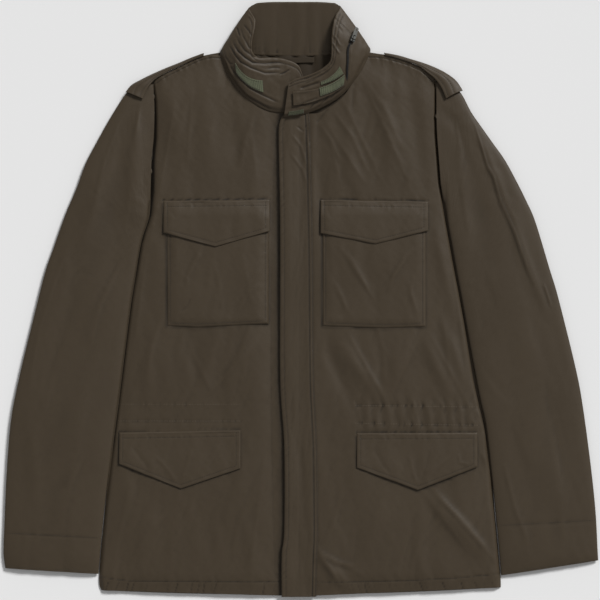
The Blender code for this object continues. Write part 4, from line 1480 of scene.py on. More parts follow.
@dataclass
class Body(Jacket):
    """The back and the two fronts."""

    across: int = 150
    along: int = 362
    front_size: tuple[float, float] = (250, 740)
    back_size: tuple[float, float] = (500, 750)

    def seams(self, side: Side) -> list[Seam]:
        """The lines of stitching of a front, with their puckers.

        Args:
            side: The front's side.

        Returns:
            The lines.
        """
        top, foot = WAIST_LINES[side]
        gathered = side is Side.LEFT
        return [
            Seam(HEM_LINE[side], 0.5, 11.0, 7.0, 0.35),
            Seam(top, 0.7 if gathered else 0.25, 8.0, 6.0, 0.25),
            Seam(foot, 0.75 if gathered else 0.25, 7.0, 6.0, 0.25),
            Seam(SHOULDER_LINE[side], 0.55, 9.0, 5.0, 0.5),
        ]

    def joints(self, side: Side) -> list[Seam]:
        """The furrows along the top edges of a front's flaps, and the creases that the hem pulls.

        Args:
            side: The front's side.

        Returns:
            The furrows and creases.
        """
        found = []
        for patch in (CHEST_FLAP[side], HIP_FLAP[side]):
            line = ((patch.left_x, patch.left_y + 1.0), (patch.right_x, patch.right_y + 1.0))
            found.append(Seam(line, 0.35, 9.0, 4.0, 0.7))
        random = np.random.default_rng(HEM_SEED + side.value)
        for near in np.arange(HEM_CREASE_FROM, HEM_CREASE_TO, HEM_STEP):
            x = side.value * (near + random.uniform(-4.0, 4.0))
            lean = random.uniform(2.0, 8.0) * side.value
            line = ((x, HEM_CREASE_TOP_Y), (x + lean, HEM_CREASE_FOOT_Y))
            found.append(Seam(line, 0.0, 9.0, 4.0, random.uniform(-0.1, 0.45)))
        return found

    def top(self, side: Side, x: Array, y: Array) -> Array:
        """Height of a front's outer face with its seams, puckers and pressed creases.

        Args:
            side: The front's side.
            x: Points' X.
            y: Points' Y.

        Returns:
            The height.
        """
        relief = seam_height(x, y, [*self.seams(side), *self.joints(side)])
        relief += crease_height(x, y, PRESSED[side]) + wrinkle_height(x, y, WRINKLES[side])
        inward = np.maximum(0.0, inward_of(side, x, y))
        relief += cloth_waves(x, y, WAVE_SEED + side.value) * (0.3 + 0.7 * eased(inward / 12.0))
        for patch in (CHEST_FLAP[side], HIP_FLAP[side], CHEST_POCKET[side]):
            relief *= 1.0 - eased((inside_patch(patch, x, y) + 0.6) / 3.0)
        relief *= eased((np.abs(x) - UNDER_PLACKET) / UNDER_PLACKET_EASE)
        roll_wide = SIDE_ROLL_WIDE + np.interp(y, *GAP_WIDTH[side]) / 2
        relief -= SIDE_ROLL * (1.0 - eased(inward / roll_wide))
        return solid_top(side, x, y) + relief

    def contact_shadow(self, side: Side, x: Array, y: Array) -> Array:
        """The painted shadow at the foot of a front's pocket and flaps, deepest on the side away from the
        light.

        Args:
            side: The front's side.
            x: Points' X.
            y: Points' Y.

        Returns:
            The shade.
        """
        total = np.zeros_like(x)
        for patch in (CHEST_POCKET[side], CHEST_FLAP[side], HIP_FLAP[side]):
            u = np.clip(patch.across(x), 0.0, 1.0)
            top = patch.top_y(u)
            low = top - hang(patch, u)
            beside_it = eased((top - y) / 5.0) * eased((y - low + 3.0) / 4.0)
            below_it = eased((x - patch.left_x + 1.0) / 2.0) * eased((patch.right_x - x + 1.0) / 2.0)
            for away, share, deep in (
                (patch.left_x - x, beside_it, 0.8),
                (x - patch.right_x, beside_it, 0.3),
                (low - y, below_it, 0.4),
            ):
                total = np.maximum(total, deep * share * hump(away, CONTACT_WIDE))
        return total

    def outer(self, side: Side, u: Array, v: Array) -> Array:
        """A point of a front's outer face: v runs up from the hem.

        Args:
            side: The front's side.
            u: Places across.
            v: Places along.

        Returns:
            The points.
        """
        rows = FRONT_ROWS[side]
        left_x, left_y, right_x, right_y = read_table(rows, v * (len(rows) - 1))
        if side is Side.LEFT:
            left_x = np.maximum(left_x, 0.0)
        else:
            right_x = np.minimum(right_x, -SEAM_GAP)
        x, y = between(left_x, right_x, u), between(left_y, right_y, u)
        places, edge = SHOULDERS[side]
        straight = np.interp(x, (places[0], places[-1]), (edge[0], edge[-1]))
        bow = np.where((x > places[0]) & (x < places[-1]), np.interp(x, places, edge) - straight, 0.0)
        y = y + bow * eased((v - BOW_FROM) / (1.0 - BOW_FROM))
        return np.stack([x, y, self.top(side, x, y)], 1)

    def shade(self, side: Side, x: Array, y: Array) -> Array:
        """The painted shade beside the sleeve, the painted shadow beside the placket, and the painted shadow
        round the pockets and flaps.

        Args:
            side: The front's side.
            x: Points' X.
            y: Points' Y.

        Returns:
            The shade.
        """
        inward = inward_of(side, x, y)
        # Painted shade in the gap beside the sleeve, dark right up to the front's edge
        deep = 1.0 - eased((inward - 0.55 * np.interp(y, *GAP_WIDTH[side])) / 1.6)
        deep *= eased((GAP_TOP_Y - y) / 8.0) * eased((y - GAP_FOOT_Y) / 20.0)
        if side is Side.RIGHT:
            # Painted shadow that the placket's raised edge casts on the right front
            beside_placket = edge_x(PLACKET_ROWS, Side.RIGHT, y) - x
            shadow = PLACKET_SHADE * hump(beside_placket, PLACKET_SHADE_WIDE)
            deep = np.maximum(deep, shadow * (y < PLACKET_SHADE_TOP_Y))
        return np.maximum(deep, self.contact_shadow(side, x, y))

    def back(self, u: Array, v: Array) -> Array:
        """A point of the back's upper face: v runs up from the hem, which bows down in its middle.

        Args:
            u: Places across.
            v: Places along.

        Returns:
            The points.
        """
        left_x, left_y, right_x, right_y = read_table(BACK_ROWS, v * (len(BACK_ROWS) - 1))
        x = between(left_x, right_x, u)
        y = between(left_y, right_y, u) - HEM_BOW * (1 - v) ** 12 * 4 * u * (1 - u)
        y = between(y, np.interp(x, *BACK_TOP), eased((v - BOW_FROM) / (1.0 - BOW_FROM)))
        return np.stack([x, y, np.full_like(x, BACK_WALL)], 1)

    def build(self) -> None:
        """Makes the back, both fronts and their stitches."""
        thread, pale = Thread("body_stitches"), Thread("waist_stitches", 3.6, 0.42)
        for side in Side:
            outer, shade, top = (partial(method, side) for method in (self.outer, self.shade, self.top))
            name = "front_" + side.word
            shell = Shell(
                name + "_cloth", outer, *self.front_size, self.across, self.along, FRONT_WALL, shade=shade
            )
            piece = self.lay(shell, name)
            for seam in self.seams(side):
                height_row(top, seam.points, pale if seam.points in WAIST_LINES[side] else thread)
        self.sew(thread)
        self.sew(pale, pale=True)
        shell = Shell("back_cloth", self.back, *self.back_size, 60, 90, BACK_WALL)
        piece = self.lay(shell, "back")


SLEEVE_CREASES = {
    Side.RIGHT: [
        Fold(-224, 262, -244, 96, 5.0, 0.8),
        Fold(-256, 220, -300, 90, 5.0, 0.6),
        Fold(-262, 80, -318, -60, 6.0, 0.6),
        Fold(-310, -10, -366, -180, 6.0, 0.5),
        Fold(-300, -160, -330, -300, 6.0, 0.5),
    ],
    Side.LEFT: [
        Fold(214, 230, 236, 90, 5.0, 0.5),
        Fold(262, 40, 330, -140, 6.0, 0.5),
        Fold(300, -170, 350, -300, 6.0, 0.6),
    ],
}
SLEEVE_WRINKLES = {
    Side.RIGHT: [
        Wrinkle(((-222, 276), (-232, 214), (-238, 150)), 2.6, 0.6),
        Wrinkle(((-248, 262), (-272, 196), (-288, 130)), 3.0, 0.45),
        Wrinkle(((-246, 60), (-280, -10), (-296, -80)), 3.2, 0.5),
        Wrinkle(((-330, 60), (-362, -30), (-380, -120)), 3.2, 0.45),
        Wrinkle(((-300, -210), (-326, -270), (-336, -340)), 3.2, 0.45),
    ],
    Side.LEFT: [
        Wrinkle(
            (
                *((231, 268.8), (245, 242.6), (261.8, 186), (270, 172), (280, 137)),
                *((298, 98), (317.8, 42), (331.8, 9.8)),
            ),
            1.6,
            0.85,
        ),
        Wrinkle(((340, 24), (346, 6), (351, -10)), 1.8, 0.8),
        Wrinkle(((216, 254), (226, 200), (230, 140)), 2.6, 0.5),
        Wrinkle(((256, 60), (288, -20), (306, -90)), 3.0, 0.5),
        Wrinkle(((330, -120), (352, -190), (362, -260)), 3.2, 0.45),
        Wrinkle(((282, -220), (300, -290), (322, -346)), 3.0, 0.45),
    ],
}


@dataclass
class Sleeve(Jacket):
    """A sleeve, flat on the table, with its cuff."""

    side: Side = Side.RIGHT
    around: int = 200
    along: int = 262
    size: tuple[float, float] = (320, 640)
    half: float = 60.0
    wall: float = 2.0
    cuff: float = 0.895
    cuff_edge: float = 0.985
    seed: int = 20

    def outer(self, a: Array, v: Array) -> Array:
        """A point of the sleeve's outer face: a runs round it, v from the armhole to the cuff.

        Args:
            a: Places round it.
            v: Places along.

        Returns:
            The points.
        """
        rings = SLEEVE_RINGS[self.side]
        outer_x, outer_y, inner_x, inner_y, rise = read_table(rings, v * (len(rings) - 1))
        angle = 2 * np.pi * a * self.side.value
        wide = np.sign(np.cos(angle)) * np.abs(np.cos(angle)) ** 0.45
        high = np.sign(np.sin(angle)) * np.abs(np.sin(angle)) ** 0.75
        x = (outer_x + inner_x) / 2 + (outer_x - inner_x) / 2 * wide
        y = (outer_y + inner_y) / 2 + (outer_y - inner_y) / 2 * wide
        way = self.side.value
        armhole = edge_x(FRONT_ROWS[self.side], self.side, y) + way * ARMHOLE_GAP
        x = between(x, armhole, 1.0 - eased(v / ARMHOLE_REACH))
        x = way * np.maximum(way * x, way * armhole)
        z = 0.5 * SLEEVE_RISE * rise * (1.0 + high)
        over = np.maximum(0.0, high) * (1.0 - np.abs(wide) ** 6)
        z = z + fold_height(x, y, SLEEVE_FOLDS[self.side]) * over
        z = z + self.relief(x, y, v, wide) * over
        return np.stack([x, y, np.maximum(0.0, z)], 1)

    def relief(self, x: Array, y: Array, v: Array, wide: Array) -> Array:
        """Creases of the sleeve's top, the cuff's furrow and its puckers.

        Args:
            x: Points' X.
            y: Points' Y.
            v: Places along.
            wide: Across, -1 to 1.

        Returns:
            The height.
        """
        found = crease_height(x, y, SLEEVE_CREASES[self.side])
        found += wrinkle_height(x, y, SLEEVE_WRINKLES[self.side])
        across = wide * self.half
        found += 0.9 * cloth_waves(across, v * self.size[1], self.seed + self.side.value)
        drift = np.sin(across / 19.0)
        ripple = np.sin(across / 2.6 + drift) * (0.5 + 0.5 * np.sin(across / 17.0 + 1.0))
        near = np.abs(v - self.cuff)
        found += -0.3 * hump(near, 0.0022) + 0.3 * ripple * np.exp(-near / 0.014)
        found += 0.3 * ripple * np.exp(-(1 - v) / 0.02)
        return found

    def build(self) -> None:
        """Makes the sleeve and its cuff's stitches."""
        word = self.side.word
        name = "sleeve_" + word
        shell = Shell(
            name + "_cloth", self.outer, *self.size, self.around, self.along, self.wall, round_tube=True
        )
        piece = self.lay(shell, name)
        thread = Thread("cuff_" + word + "_stitches")
        us = np.linspace(0.03, 0.47, 220) * self.side.value
        for place in (self.cuff, self.cuff_edge):
            face_row(self.outer, us, place, thread)
        self.sew(thread)


def inset(patch: Patch, side: float, foot: float, top: float | None) -> list[tuple[float, float]]:
    """A patch's outline drawn in by so much, for a line of stitching.

    Args:
        patch: The pocket or flap.
        side: How far in from its sides.
        foot: How far up from its lower edge.
        top: How far down from its top edge, or None for a line that stays open there.

    Returns:
        The line's corners.
    """
    u_in = side / patch.wide

    def at(u: float, hanging: float) -> tuple[float, float]:
        """A point of the patch, hanging so far below its top edge."""
        return between(patch.left_x, patch.right_x, u), patch.top_y(u) - hanging

    down = [float(hang(patch, np.array(u))) - foot for u in (u_in, patch.tip_x, 1 - u_in)]
    start = 1.0 if top is None else top
    line = [at(u_in, start), at(u_in, down[0]), at(patch.tip_x, down[1]), at(1 - u_in, down[2])]
    line.append(at(1 - u_in, start))
    return line if top is None else [*line, at(u_in, start)]


CHEST_POCKET_LONG = 155
POCKET_WRINKLES = {
    Side.RIGHT: [
        Wrinkle(((-135.4, 70), (-147, 53.6), (-157.5, 32.6), (-158.6, 14)), 2.97, 0.43),
        Wrinkle(((-151.6, 4.6), (-157.5, -9.4), (-168, -17.5)), 2.7, -0.32),
        Wrinkle(((-122, 62), (-112, 20), (-108, -20)), 3.78, 0.29),
        Wrinkle(((-56, 24), (-76, 4), (-92, -22)), 2.97, 0.29),
    ],
    Side.LEFT: [
        Wrinkle(((62, 72), (82, 40), (98, 10)), 2.97, 0.36),
        Wrinkle(((150, 68), (132, 36), (120, 6)), 2.97, 0.36),
        Wrinkle(((46, 30), (60, 2), (66, -24)), 2.97, 0.29),
        Wrinkle(((160, 40), (154, 10), (164, -22)), 2.97, 0.29),
    ],
}
FLAP_WRINKLES = {
    Side.RIGHT: [
        Wrinkle(((-166, -254), (-158, -232), (-150, -206)), 2.8, 0.28),
        Wrinkle(((-172, -256), (-186, -234), (-204, -216)), 2.8, 0.28),
        Wrinkle(((-236, -200), (-222, -222), (-206, -240)), 3.36, -0.25),
        Wrinkle(((-112, -200), (-124, -222), (-136, -240)), 3.08, 0.25),
    ],
    Side.LEFT: [
        Wrinkle(((163.4, -259), (157, -236), (151.6, -212.4)), 2.8, 0.31),
        Wrinkle(((168, -256.7), (176, -232), (182, -207.6)), 3.08, -0.31),
        Wrinkle(((172.6, -254.4), (190, -234), (210, -217)), 2.8, 0.31),
        Wrinkle(((100.4, -203), (116.6, -231), (128.4, -245)), 3.36, -0.31),
        Wrinkle(((221.6, -212.4), (222.9, -226.4), (238, -229.9)), 2.24, 0.28),
    ],
}
POCKET_CREASES = {
    Side.RIGHT: [
        Fold(-80, 60, -66, -10, 6.0, 0.5),
        Fold(-110, 40, -112, -30, 8.0, -0.5),
    ],
    Side.LEFT: [
        Fold(56, 74, 104, 0, 4.0, 0.7),
        Fold(156, 70, 108, 2, 4.0, 0.7),
        Fold(48, 20, 74, -26, 5.0, 0.5),
        Fold(150, 30, 166, -26, 5.0, 0.5),
        Fold(106, 40, 108, -30, 8.0, -0.4),
    ],
}


@dataclass
class Pockets(Jacket):
    """A side's chest pocket with its flap, and its hip flap."""

    side: Side = Side.RIGHT
    across: int = 110
    down: int = 100
    down_least: int = 64
    bag_wall: float = 1.8
    flap_wall: float = 1.4
    stand: float = SEAM_GAP + 0.9
    near: float = 5.0
    swell: float = 1.2
    swell_wide: float = 15.0
    chest_lift: float = 1.1
    hip_lift: float = 1.8
    sunk: float = 0.15
    sunk_long: float = 12.0
    bag_line_in: float = 5.0
    bag_line_up: float = 5.5
    flap_line_in: float = 6.0
    bag_seed: int = 30
    flap_seed: int = 50

    def pocket_rest(self, x: Array, y: Array) -> Array:
        """Height of the chest pocket's solid, with the bag's swell.

        Args:
            x: Points' X.
            y: Points' Y.

        Returns:
            The height.
        """
        patch = CHEST_POCKET[self.side]
        panel = highest_near(partial(solid_top, self.side), x, y, self.near)
        rim = np.minimum(x - patch.left_x, patch.right_x - x)
        foot = patch.tip - (patch.left_y - y)
        return panel + self.stand + self.swell * eased(rim / self.swell_wide) * eased(foot / self.swell_wide)

    def pocket_top(self, x: Array, y: Array) -> Array:
        """The chest pocket's outer face, its edges rolled down to the front.

        Args:
            x: Points' X.
            y: Points' Y.

        Returns:
            The height.
        """
        patch = CHEST_POCKET[self.side]
        inside = np.maximum(0.0, inside_patch(patch, x, y))
        roll = 1.5 * (1.0 - eased(inside / 1.8)) + 0.3 * (1.0 - eased(inside / 7.0))
        seams = [Seam(tuple(self.bag_line(patch)), 0.14, 11.0, 6.0, 0.16)]
        relief = seam_height(x, y, seams) + crease_height(x, y, POCKET_CREASES[self.side])
        relief += wrinkle_height(x, y, POCKET_WRINKLES[self.side])
        relief += 0.8 * cloth_waves(x, y, self.bag_seed + self.side.value)
        return self.pocket_rest(x, y) - roll + relief * eased(inside / 4.0)

    def under_flap(self, x: Array, y: Array) -> Array:
        """What the chest flap lies on: the pocket, and the front above the pocket.

        Args:
            x: Points' X.
            y: Points' Y.

        Returns:
            The height.
        """
        patch = CHEST_POCKET[self.side]
        covered = (x > patch.left_x - 4) & (x < patch.right_x + 4)
        panel = solid_top(self.side, x, y)
        rise = eased((patch.left_y + 20.0 - y) / 26.0)
        return np.where(covered, between(panel, self.pocket_rest(x, y), rise), panel)

    def flap_top(self, patch: Patch, rest: Map, lift: float, x: Array, y: Array) -> Array:
        """A flap's outer face.

        Args:
            patch: The flap.
            rest: The height of what it lies on.
            lift: How far its free edge stands off.
            x: Points' X.
            y: Points' Y.

        Returns:
            The height.
        """
        u = np.clip(patch.across(x), 0, 1)
        top = patch.top_y(u)
        down = np.clip((top - y) / hang(patch, u), 0, 1)
        height = highest_near(rest, x, y, self.near) + self.stand + lift * eased(down)
        inside = np.maximum(0.0, inside_patch(patch, x, y))
        seams = [
            Seam(tuple(self.flap_line(patch)), 0.14, 11.0, 5.0, 0.12),
            Seam(tuple(self.top_row(patch)), 0.22, 8.0, 5.0, 0.12),
        ]
        relief = seam_height(x, y, seams) + 0.7 * cloth_waves(x, y, self.flap_seed + self.side.value)
        relief += wrinkle_height(x, y, FLAP_WRINKLES[self.side])
        sunk = self.sunk * (1.0 - eased((top - y) / self.sunk_long))
        return height - sunk - 0.5 * (1.0 - eased(inside / 1.4)) + relief * eased(inside / 3.0)

    def bag_line(self, patch: Patch) -> list[tuple[float, float]]:
        """The line of stitching round a pocket bag."""
        return inset(patch, self.bag_line_in, self.bag_line_up, None)

    def flap_line(self, patch: Patch) -> list[tuple[float, float]]:
        """The line of stitching along a flap's sides and point."""
        return inset(patch, self.flap_line_in, self.flap_line_in, None)

    def top_row(self, patch: Patch) -> list[tuple[float, float]]:
        """The line of stitching along a flap's top edge."""
        return [(patch.left_x + 3, patch.left_y - 8), (patch.right_x - 3, patch.right_y - 8)]

    def sheet(self, name: str, patch: Patch, top: Map, wall: float) -> bpy.types.Object:
        """Makes one pocket or flap.

        Args:
            name: The solid's name.
            patch: Its outline.
            top: The height of its outer face.
            wall: Its thickness.

        Returns:
            The piece.
        """

        def outer(u: Array, v: Array) -> Array:
            """A point of the piece's outer face."""
            x, y = patch_xy(patch, u, v)
            return np.stack([x, y, top(x, y)], 1)

        down = max(self.down_least, int(self.down * patch.tip / CHEST_POCKET_LONG))
        shell = Shell(name + "_cloth", outer, patch.wide, patch.tip, self.across, down, wall, 0.9)
        return self.lay(shell, name)

    def build(self) -> None:
        """Makes the pocket, both flaps and their stitches."""
        word = self.side.word
        thread = Thread("pocket_" + word + "_stitches")
        pocket = CHEST_POCKET[self.side]
        piece = self.sheet("chest_pocket_" + word, pocket, self.pocket_top, self.bag_wall)
        height_row(self.pocket_top, self.bag_line(pocket), thread)
        front = partial(solid_top, self.side)
        for name, patch, rest, lift in (
            ("chest_flap_", CHEST_FLAP[self.side], self.under_flap, self.chest_lift),
            ("hip_flap_", HIP_FLAP[self.side], front, self.hip_lift),
        ):
            top = partial(self.flap_top, patch, rest, lift)
            piece = self.sheet(name + word, patch, top, self.flap_wall)
            wide, long = patch.wide * MM, patch.tip * MM
            wide * long * 0.85
            height_row(top, self.flap_line(patch), thread)
            height_row(top, self.top_row(patch), thread)
        self.sew(thread)


# Where the left front's lap eases in over the right front, under the placket
LAP_FROM, LAP_WIDE = 24.0, 24.0
PLACKET_WRINKLES = [
    Wrinkle(((10, 236), (12, 214), (14, 180), (15, 150)), 1.4, 0.5),
    Wrinkle(((-12, 232), (2, 214), (10, 186)), 1.8, 0.45),
    Wrinkle(((-14, 206), (4, 182), (10, 160)), 1.8, 0.4),
    Wrinkle(((-6, 244), (4, 236), (10, 246)), 1.4, -0.4),
]


@dataclass
class Placket(Jacket):
    """The storm placket over the front closure."""

    across: int = 34
    along: int = 420
    wide: float = 48.0
    long: float = 668.0
    wall: float = 1.9
    near: float = 4.0
    open_row: float = 6.5
    sewn_rows: tuple[float, float] = (5.5, 1.5)
    seed: int = 61

    def fronts(self, x: Array, y: Array) -> Array:
        """The height of the fronts below, the left one's lap eased in over the right one."""
        right, left = solid_top(Side.RIGHT, x, y), solid_top(Side.LEFT, x, y)
        return between(right, left, eased((x + LAP_FROM) / LAP_WIDE))

    def outer(self, u: Array, v: Array) -> Array:
        """A point of the placket's outer face: v runs up from the hem.

        Args:
            u: Places across.
            v: Places along.

        Returns:
            The points.
        """
        left_x, left_y, right_x, right_y = read_table(PLACKET_ROWS, (1.0 - v) * (len(PLACKET_ROWS) - 1))
        x, y = between(left_x, right_x, u), between(left_y, right_y, u)
        rest = highest_near(self.fronts, x, y, self.near) + SEAM_GAP + FRONT_WALL
        z = rest + PLACKET_LIFT * (1.0 - eased(u))
        wide = right_x - left_x
        from_left, from_right = u * wide, (1 - u) * wide
        z = z - 0.7 * (1.0 - eased(from_left / 2.0))
        for away, depth in (
            (from_left - self.open_row, 0.2),
            (from_right - self.sewn_rows[0], 0.35),
            (from_right - 1.2, 0.35),
        ):
            z = z - depth * hump(away, 1.1)
        ripple = noise(y - 0.8 * from_left, from_left, 4.0, 14.0, self.seed)
        z = z + 0.35 * ripple * hump(from_left, 9.0)
        ripple = noise(y + 0.5 * from_right, from_right, 4.5, 16.0, self.seed + 1)
        z = z + 0.2 * ripple * np.exp(-from_right / 9.0)
        z = z + wrinkle_height(x, y, PLACKET_WRINKLES) + 0.6 * cloth_waves(2 * x, y, self.seed + 2)
        z = z + 0.35 * np.sin(y / 21.0 + 0.5 * np.sin(y / 60.0)) * (1.0 - eased(from_left / 26.0))
        return np.stack([x, y, z], 1)

    def sewn_edge_shade(self, x: Array, y: Array) -> Array:
        """The painted shade along the two rows of stitching beside the edge that is sewn down."""
        away = edge_x(PLACKET_ROWS, Side.LEFT, y) - x
        return 0.5 * (hump(away - self.sewn_rows[0], 1.1) + hump(away - 0.9, 1.2))

    def build(self) -> None:
        """Makes the placket and its stitches."""
        size = (self.wide, self.long, self.across, self.along, self.wall)
        shell = Shell("placket_cloth", self.outer, *size, edge=1.0, shade=self.sewn_edge_shade)
        piece = self.lay(shell, "placket")
        thread = Thread("placket_stitches")
        vs = np.linspace(0.004, 0.996, 900)
        for place in (self.open_row / self.wide, *(1 - row / self.wide for row in self.sewn_rows)):
            face_row(self.outer, place, vs, thread)
        self.sew(thread)


@dataclass
class Epaulette(Jacket):
    """A shoulder strap, rolled over the shoulder's edge."""

    side: Side = Side.RIGHT
    long: float = 130.0
    wide: float = 20.0
    wall: float = 1.8
    rows: tuple[float, float] = (0.16, 0.5)

    def outer(self, u: Array, v: Array) -> Array:
        """A point of the strap's outer face.

        Args:
            u: Places across.
            v: Places along.

        Returns:
            The points.
        """
        rows = EPAULETTE_STRIPS[self.side]
        at = u if self.side is Side.LEFT else 1.0 - u
        columns = read_table(rows, at * (len(rows) - 1))
        edge, crest, rolled = (np.stack(columns[k : k + 3], 1) for k in (0, 3, 6))
        t = v[:, None]
        place = between(between(edge, crest, t), between(crest, rolled, t), t)
        long = at * self.long
        wave = 0.25 * np.sin(long / 6.5 + np.sin(long / 19.0)) * np.sin(np.pi * v)
        for row in self.rows:
            wave = wave - 0.35 * hump((v - row) * 16, 1.2)
        place[:, 2] += wave
        return place

    def build(self) -> None:
        """Makes the strap and its rows of stitches."""
        word = self.side.word
        name = "epaulette_" + word
        shell = Shell(name + "_cloth", self.outer, self.long, self.wide, 110, 26, self.wall, 0.9)
        piece = self.lay(shell, name)
        thread = Thread(name + "_stitches", 3.2, 0.5)
        us = np.linspace(0.02, 0.98, 200)
        for row in self.rows:
            face_row(self.outer, us, row, thread)
        self.sew(thread)


# Seams of the collar, in mm along its band and up it
COLLAR_SEAMS = [
    Seam(((4, 53), (170, 53)), 0.2, 9.0, 4.0, 0.45),
    Seam(((350, 54), (515, 54)), 0.3, 9.0, 4.0, 0.55),
    Seam(((350, 49.5), (515, 49.5)), 0.0, 12.0, 5.0, 0.45),
]
# Wrinkles of the collar's outer face, where they are seen from above
COLLAR_WRINKLES = [
    Wrinkle(((-72, 401), (-66, 393), (-62, 385)), 1.3, -0.51),
    Wrinkle(((-79, 384), (-71, 374), (-66, 364)), 1.3, -0.59),
    Wrinkle(((-83, 380), (-79, 367), (-71, 351), (-63, 345)), 1.4, -0.58),
    Wrinkle(((-88, 381), (-86, 374), (-83, 366)), 1.3, -0.95),
    Wrinkle(((-89, 371), (-85, 359), (-77, 347), (-65, 338), (-49, 337)), 1.4, -0.58),
    Wrinkle(
        (
            *((-94, 366), (-92, 357), (-87, 347), (-77, 337)),
            *((-66, 330), (-49, 329), (-29, 331), (-20, 332)),
        ),
        1.5,
        -1.1,
    ),
    Wrinkle(
        (
            *((-100, 363), (-97, 353), (-89, 339), (-83, 331)),
            *((-69, 323), (-49, 316), (-30, 317), (-23, 321)),
        ),
        1.4,
        -0.85,
    ),
    Wrinkle(((-106, 351), (-104, 339), (-97, 329), (-90, 329)), 1.4, -0.58),
    Wrinkle(
        (
            *((-103, 337), (-93, 319), (-83, 308), (-69, 295)),
            *((-53, 286), (-33, 277), (-23, 274)),
        ),
        1.5,
        -0.89,
    ),
    Wrinkle(
        (
            *((-107, 338), (-99, 317), (-87, 299), (-75, 285)),
            *((-57, 275), (-43, 267), (-29, 265)),
        ),
        1.5,
        -0.83,
    ),
    Wrinkle(((-29.4, 314), (-22, 317), (-14, 322)), 1.1, -0.89),
    Wrinkle(((-64, 343), (-42, 340), (-20, 341)), 2.4, 0.52),
    Wrinkle(((-46, 322), (-36, 324), (-26, 323)), 1.4, -0.51),
    Wrinkle(((47, 393), (57, 383), (63, 377)), 1.4, -0.42),
    Wrinkle(((44, 359), (49, 351), (55, 341)), 1.3, 0.75),
    Wrinkle(((48, 367), (52, 360), (56, 352)), 1.3, 0.6),
    Wrinkle(((45, 399), (51, 383), (61, 369)), 1.6, -0.42),
    Wrinkle(((60, 384), (72, 372), (80, 360)), 2, 0.5),
    Wrinkle(((-3, 305), (13, 309), (31, 319), (45, 331)), 1.4, -0.7),
    Wrinkle(((-2, 293.5), (12, 298), (30, 304)), 1.8, -1.27),
    Wrinkle(((3, 299), (17, 305), (33, 314), (45, 323)), 1.4, -0.64),
    Wrinkle(((12, 265), (19, 273), (27, 277)), 1.4, -0.7),
    Wrinkle(((23, 267), (35, 279), (41, 287)), 1.4, -0.7),
    Wrinkle(((-3, 269), (9, 276), (27, 283)), 1.4, -0.68),
    Wrinkle(((40, 278), (52, 292), (58, 304)), 1.6, -0.68),
    Wrinkle(((93, 341), (84, 326), (77, 313)), 1.8, -0.77),
    Wrinkle(((71.5, 352), (70, 330), (67, 306)), 1.8, 0.68),
]
# The zip's run along the collar, as station and share of the way up
ZIP_RUN = [(17.4, 0.47), (18.6, 0.5), (19.4, 0.53), (20.25, 0.48), (21.05, 0.41), (21.8, 0.25)]
# The pads of touch fastener, and the throat tab
PADS = [
    Pad("collar_pad_right", (5.5, 0.27), (3.05, 0.31), (3.25, 0.53), (6.1, 0.36), 46, 12),
    Pad("collar_pad_left", (23.45, 0.6), (21.65, 0.44), (21.45, 0.65), (23.4, 0.68), 36, 10),
    Pad("placket_pad", (25.65, 0.05), (24.8, 0.04), (24.75, 0.15), (25.6, 0.16), 21, 6),
    Pad("tab_hook_pad", (23.7, 0.33), (22.2, 0.24), (21.65, 0.42), (23.6, 0.55), 36, 12),
]
TAB = Pad("collar_tab", (25.35, 0.30), (21.95, 0.18), (21.6, 0.39), (25.35, 0.68), 76, 17)


@dataclass
class Neck(Jacket):
    """The facing inside the back of the neck and the hanger loop over it."""

    centre: float = -18.0
    wide: float = 132.0
    low_y: float = 278.0
    high_y: float = 345.0
    long: float = 64.0
    facing_wall: float = 1.4
    fold: float = 0.8
    rest: float = BACK_WALL + SEAM_GAP + TRIM_WALL
    loop_from: float = -54.0
    loop_to: float = 20.0
    loop_low_y: float = 331.0
    loop_wide: float = 7.5
    loop_wall: float = 1.1
    loop_lift: float = SEAM_GAP + 1.2

    def facing(self, u: Array, v: Array) -> Array:
        """A point of the facing's upper face: v runs up to the collar.

        Args:
            u: Places across.
            v: Places along.

        Returns:
            The points.
        """
        x = self.centre + self.wide * (0.83 + 0.17 * v) * (u - 0.5)
        y = between(self.low_y, self.high_y, v)
        held = eased(6 * u) * eased(6 * (1 - u)) * (1.0 - eased((v - 0.9) / 0.1))
        fold = np.sin(x / 5.2 + 0.6 * v + 1.5 * np.sin(x / 17)) * held
        fine = 0.25 * np.sin(x / 2.3 + 3 * v + np.sin(x / 9)) * v
        return np.stack([x, y, self.rest + self.fold * (1 + fold) + fine * held], 1)

    def loop(self, u: Array, v: Array) -> Array:
        """A point of the hanger loop's upper face.

        Args:
            u: Places across.
            v: Places along.

        Returns:
            The points.
        """
        x = between(self.loop_from, self.loop_to, u)
        y = self.loop_low_y + self.loop_wide * v + 0.4 * np.sin(x / 9)
        z = self.rest + 2 * self.fold + self.loop_lift + np.sin(np.pi * u)
        return np.stack([x, y, z], 1)

    def build(self) -> None:
        """Makes the facing and the loop."""
        shell = Shell("neck_facing_cloth", self.facing, self.wide, self.long, 120, 50, self.facing_wall)
        piece = self.dress(shell.build(), self.finishes.lining, "lining_cloth", "neck_facing")
        size = (self.loop_to - self.loop_from, self.loop_wide, 70, 12, self.loop_wall)
        shell = Shell("hanger_loop_cloth", self.loop, *size, edge=0.6)
        piece = self.dress(shell.build(), self.finishes.lining, "shell_cloth", "hanger_loop")


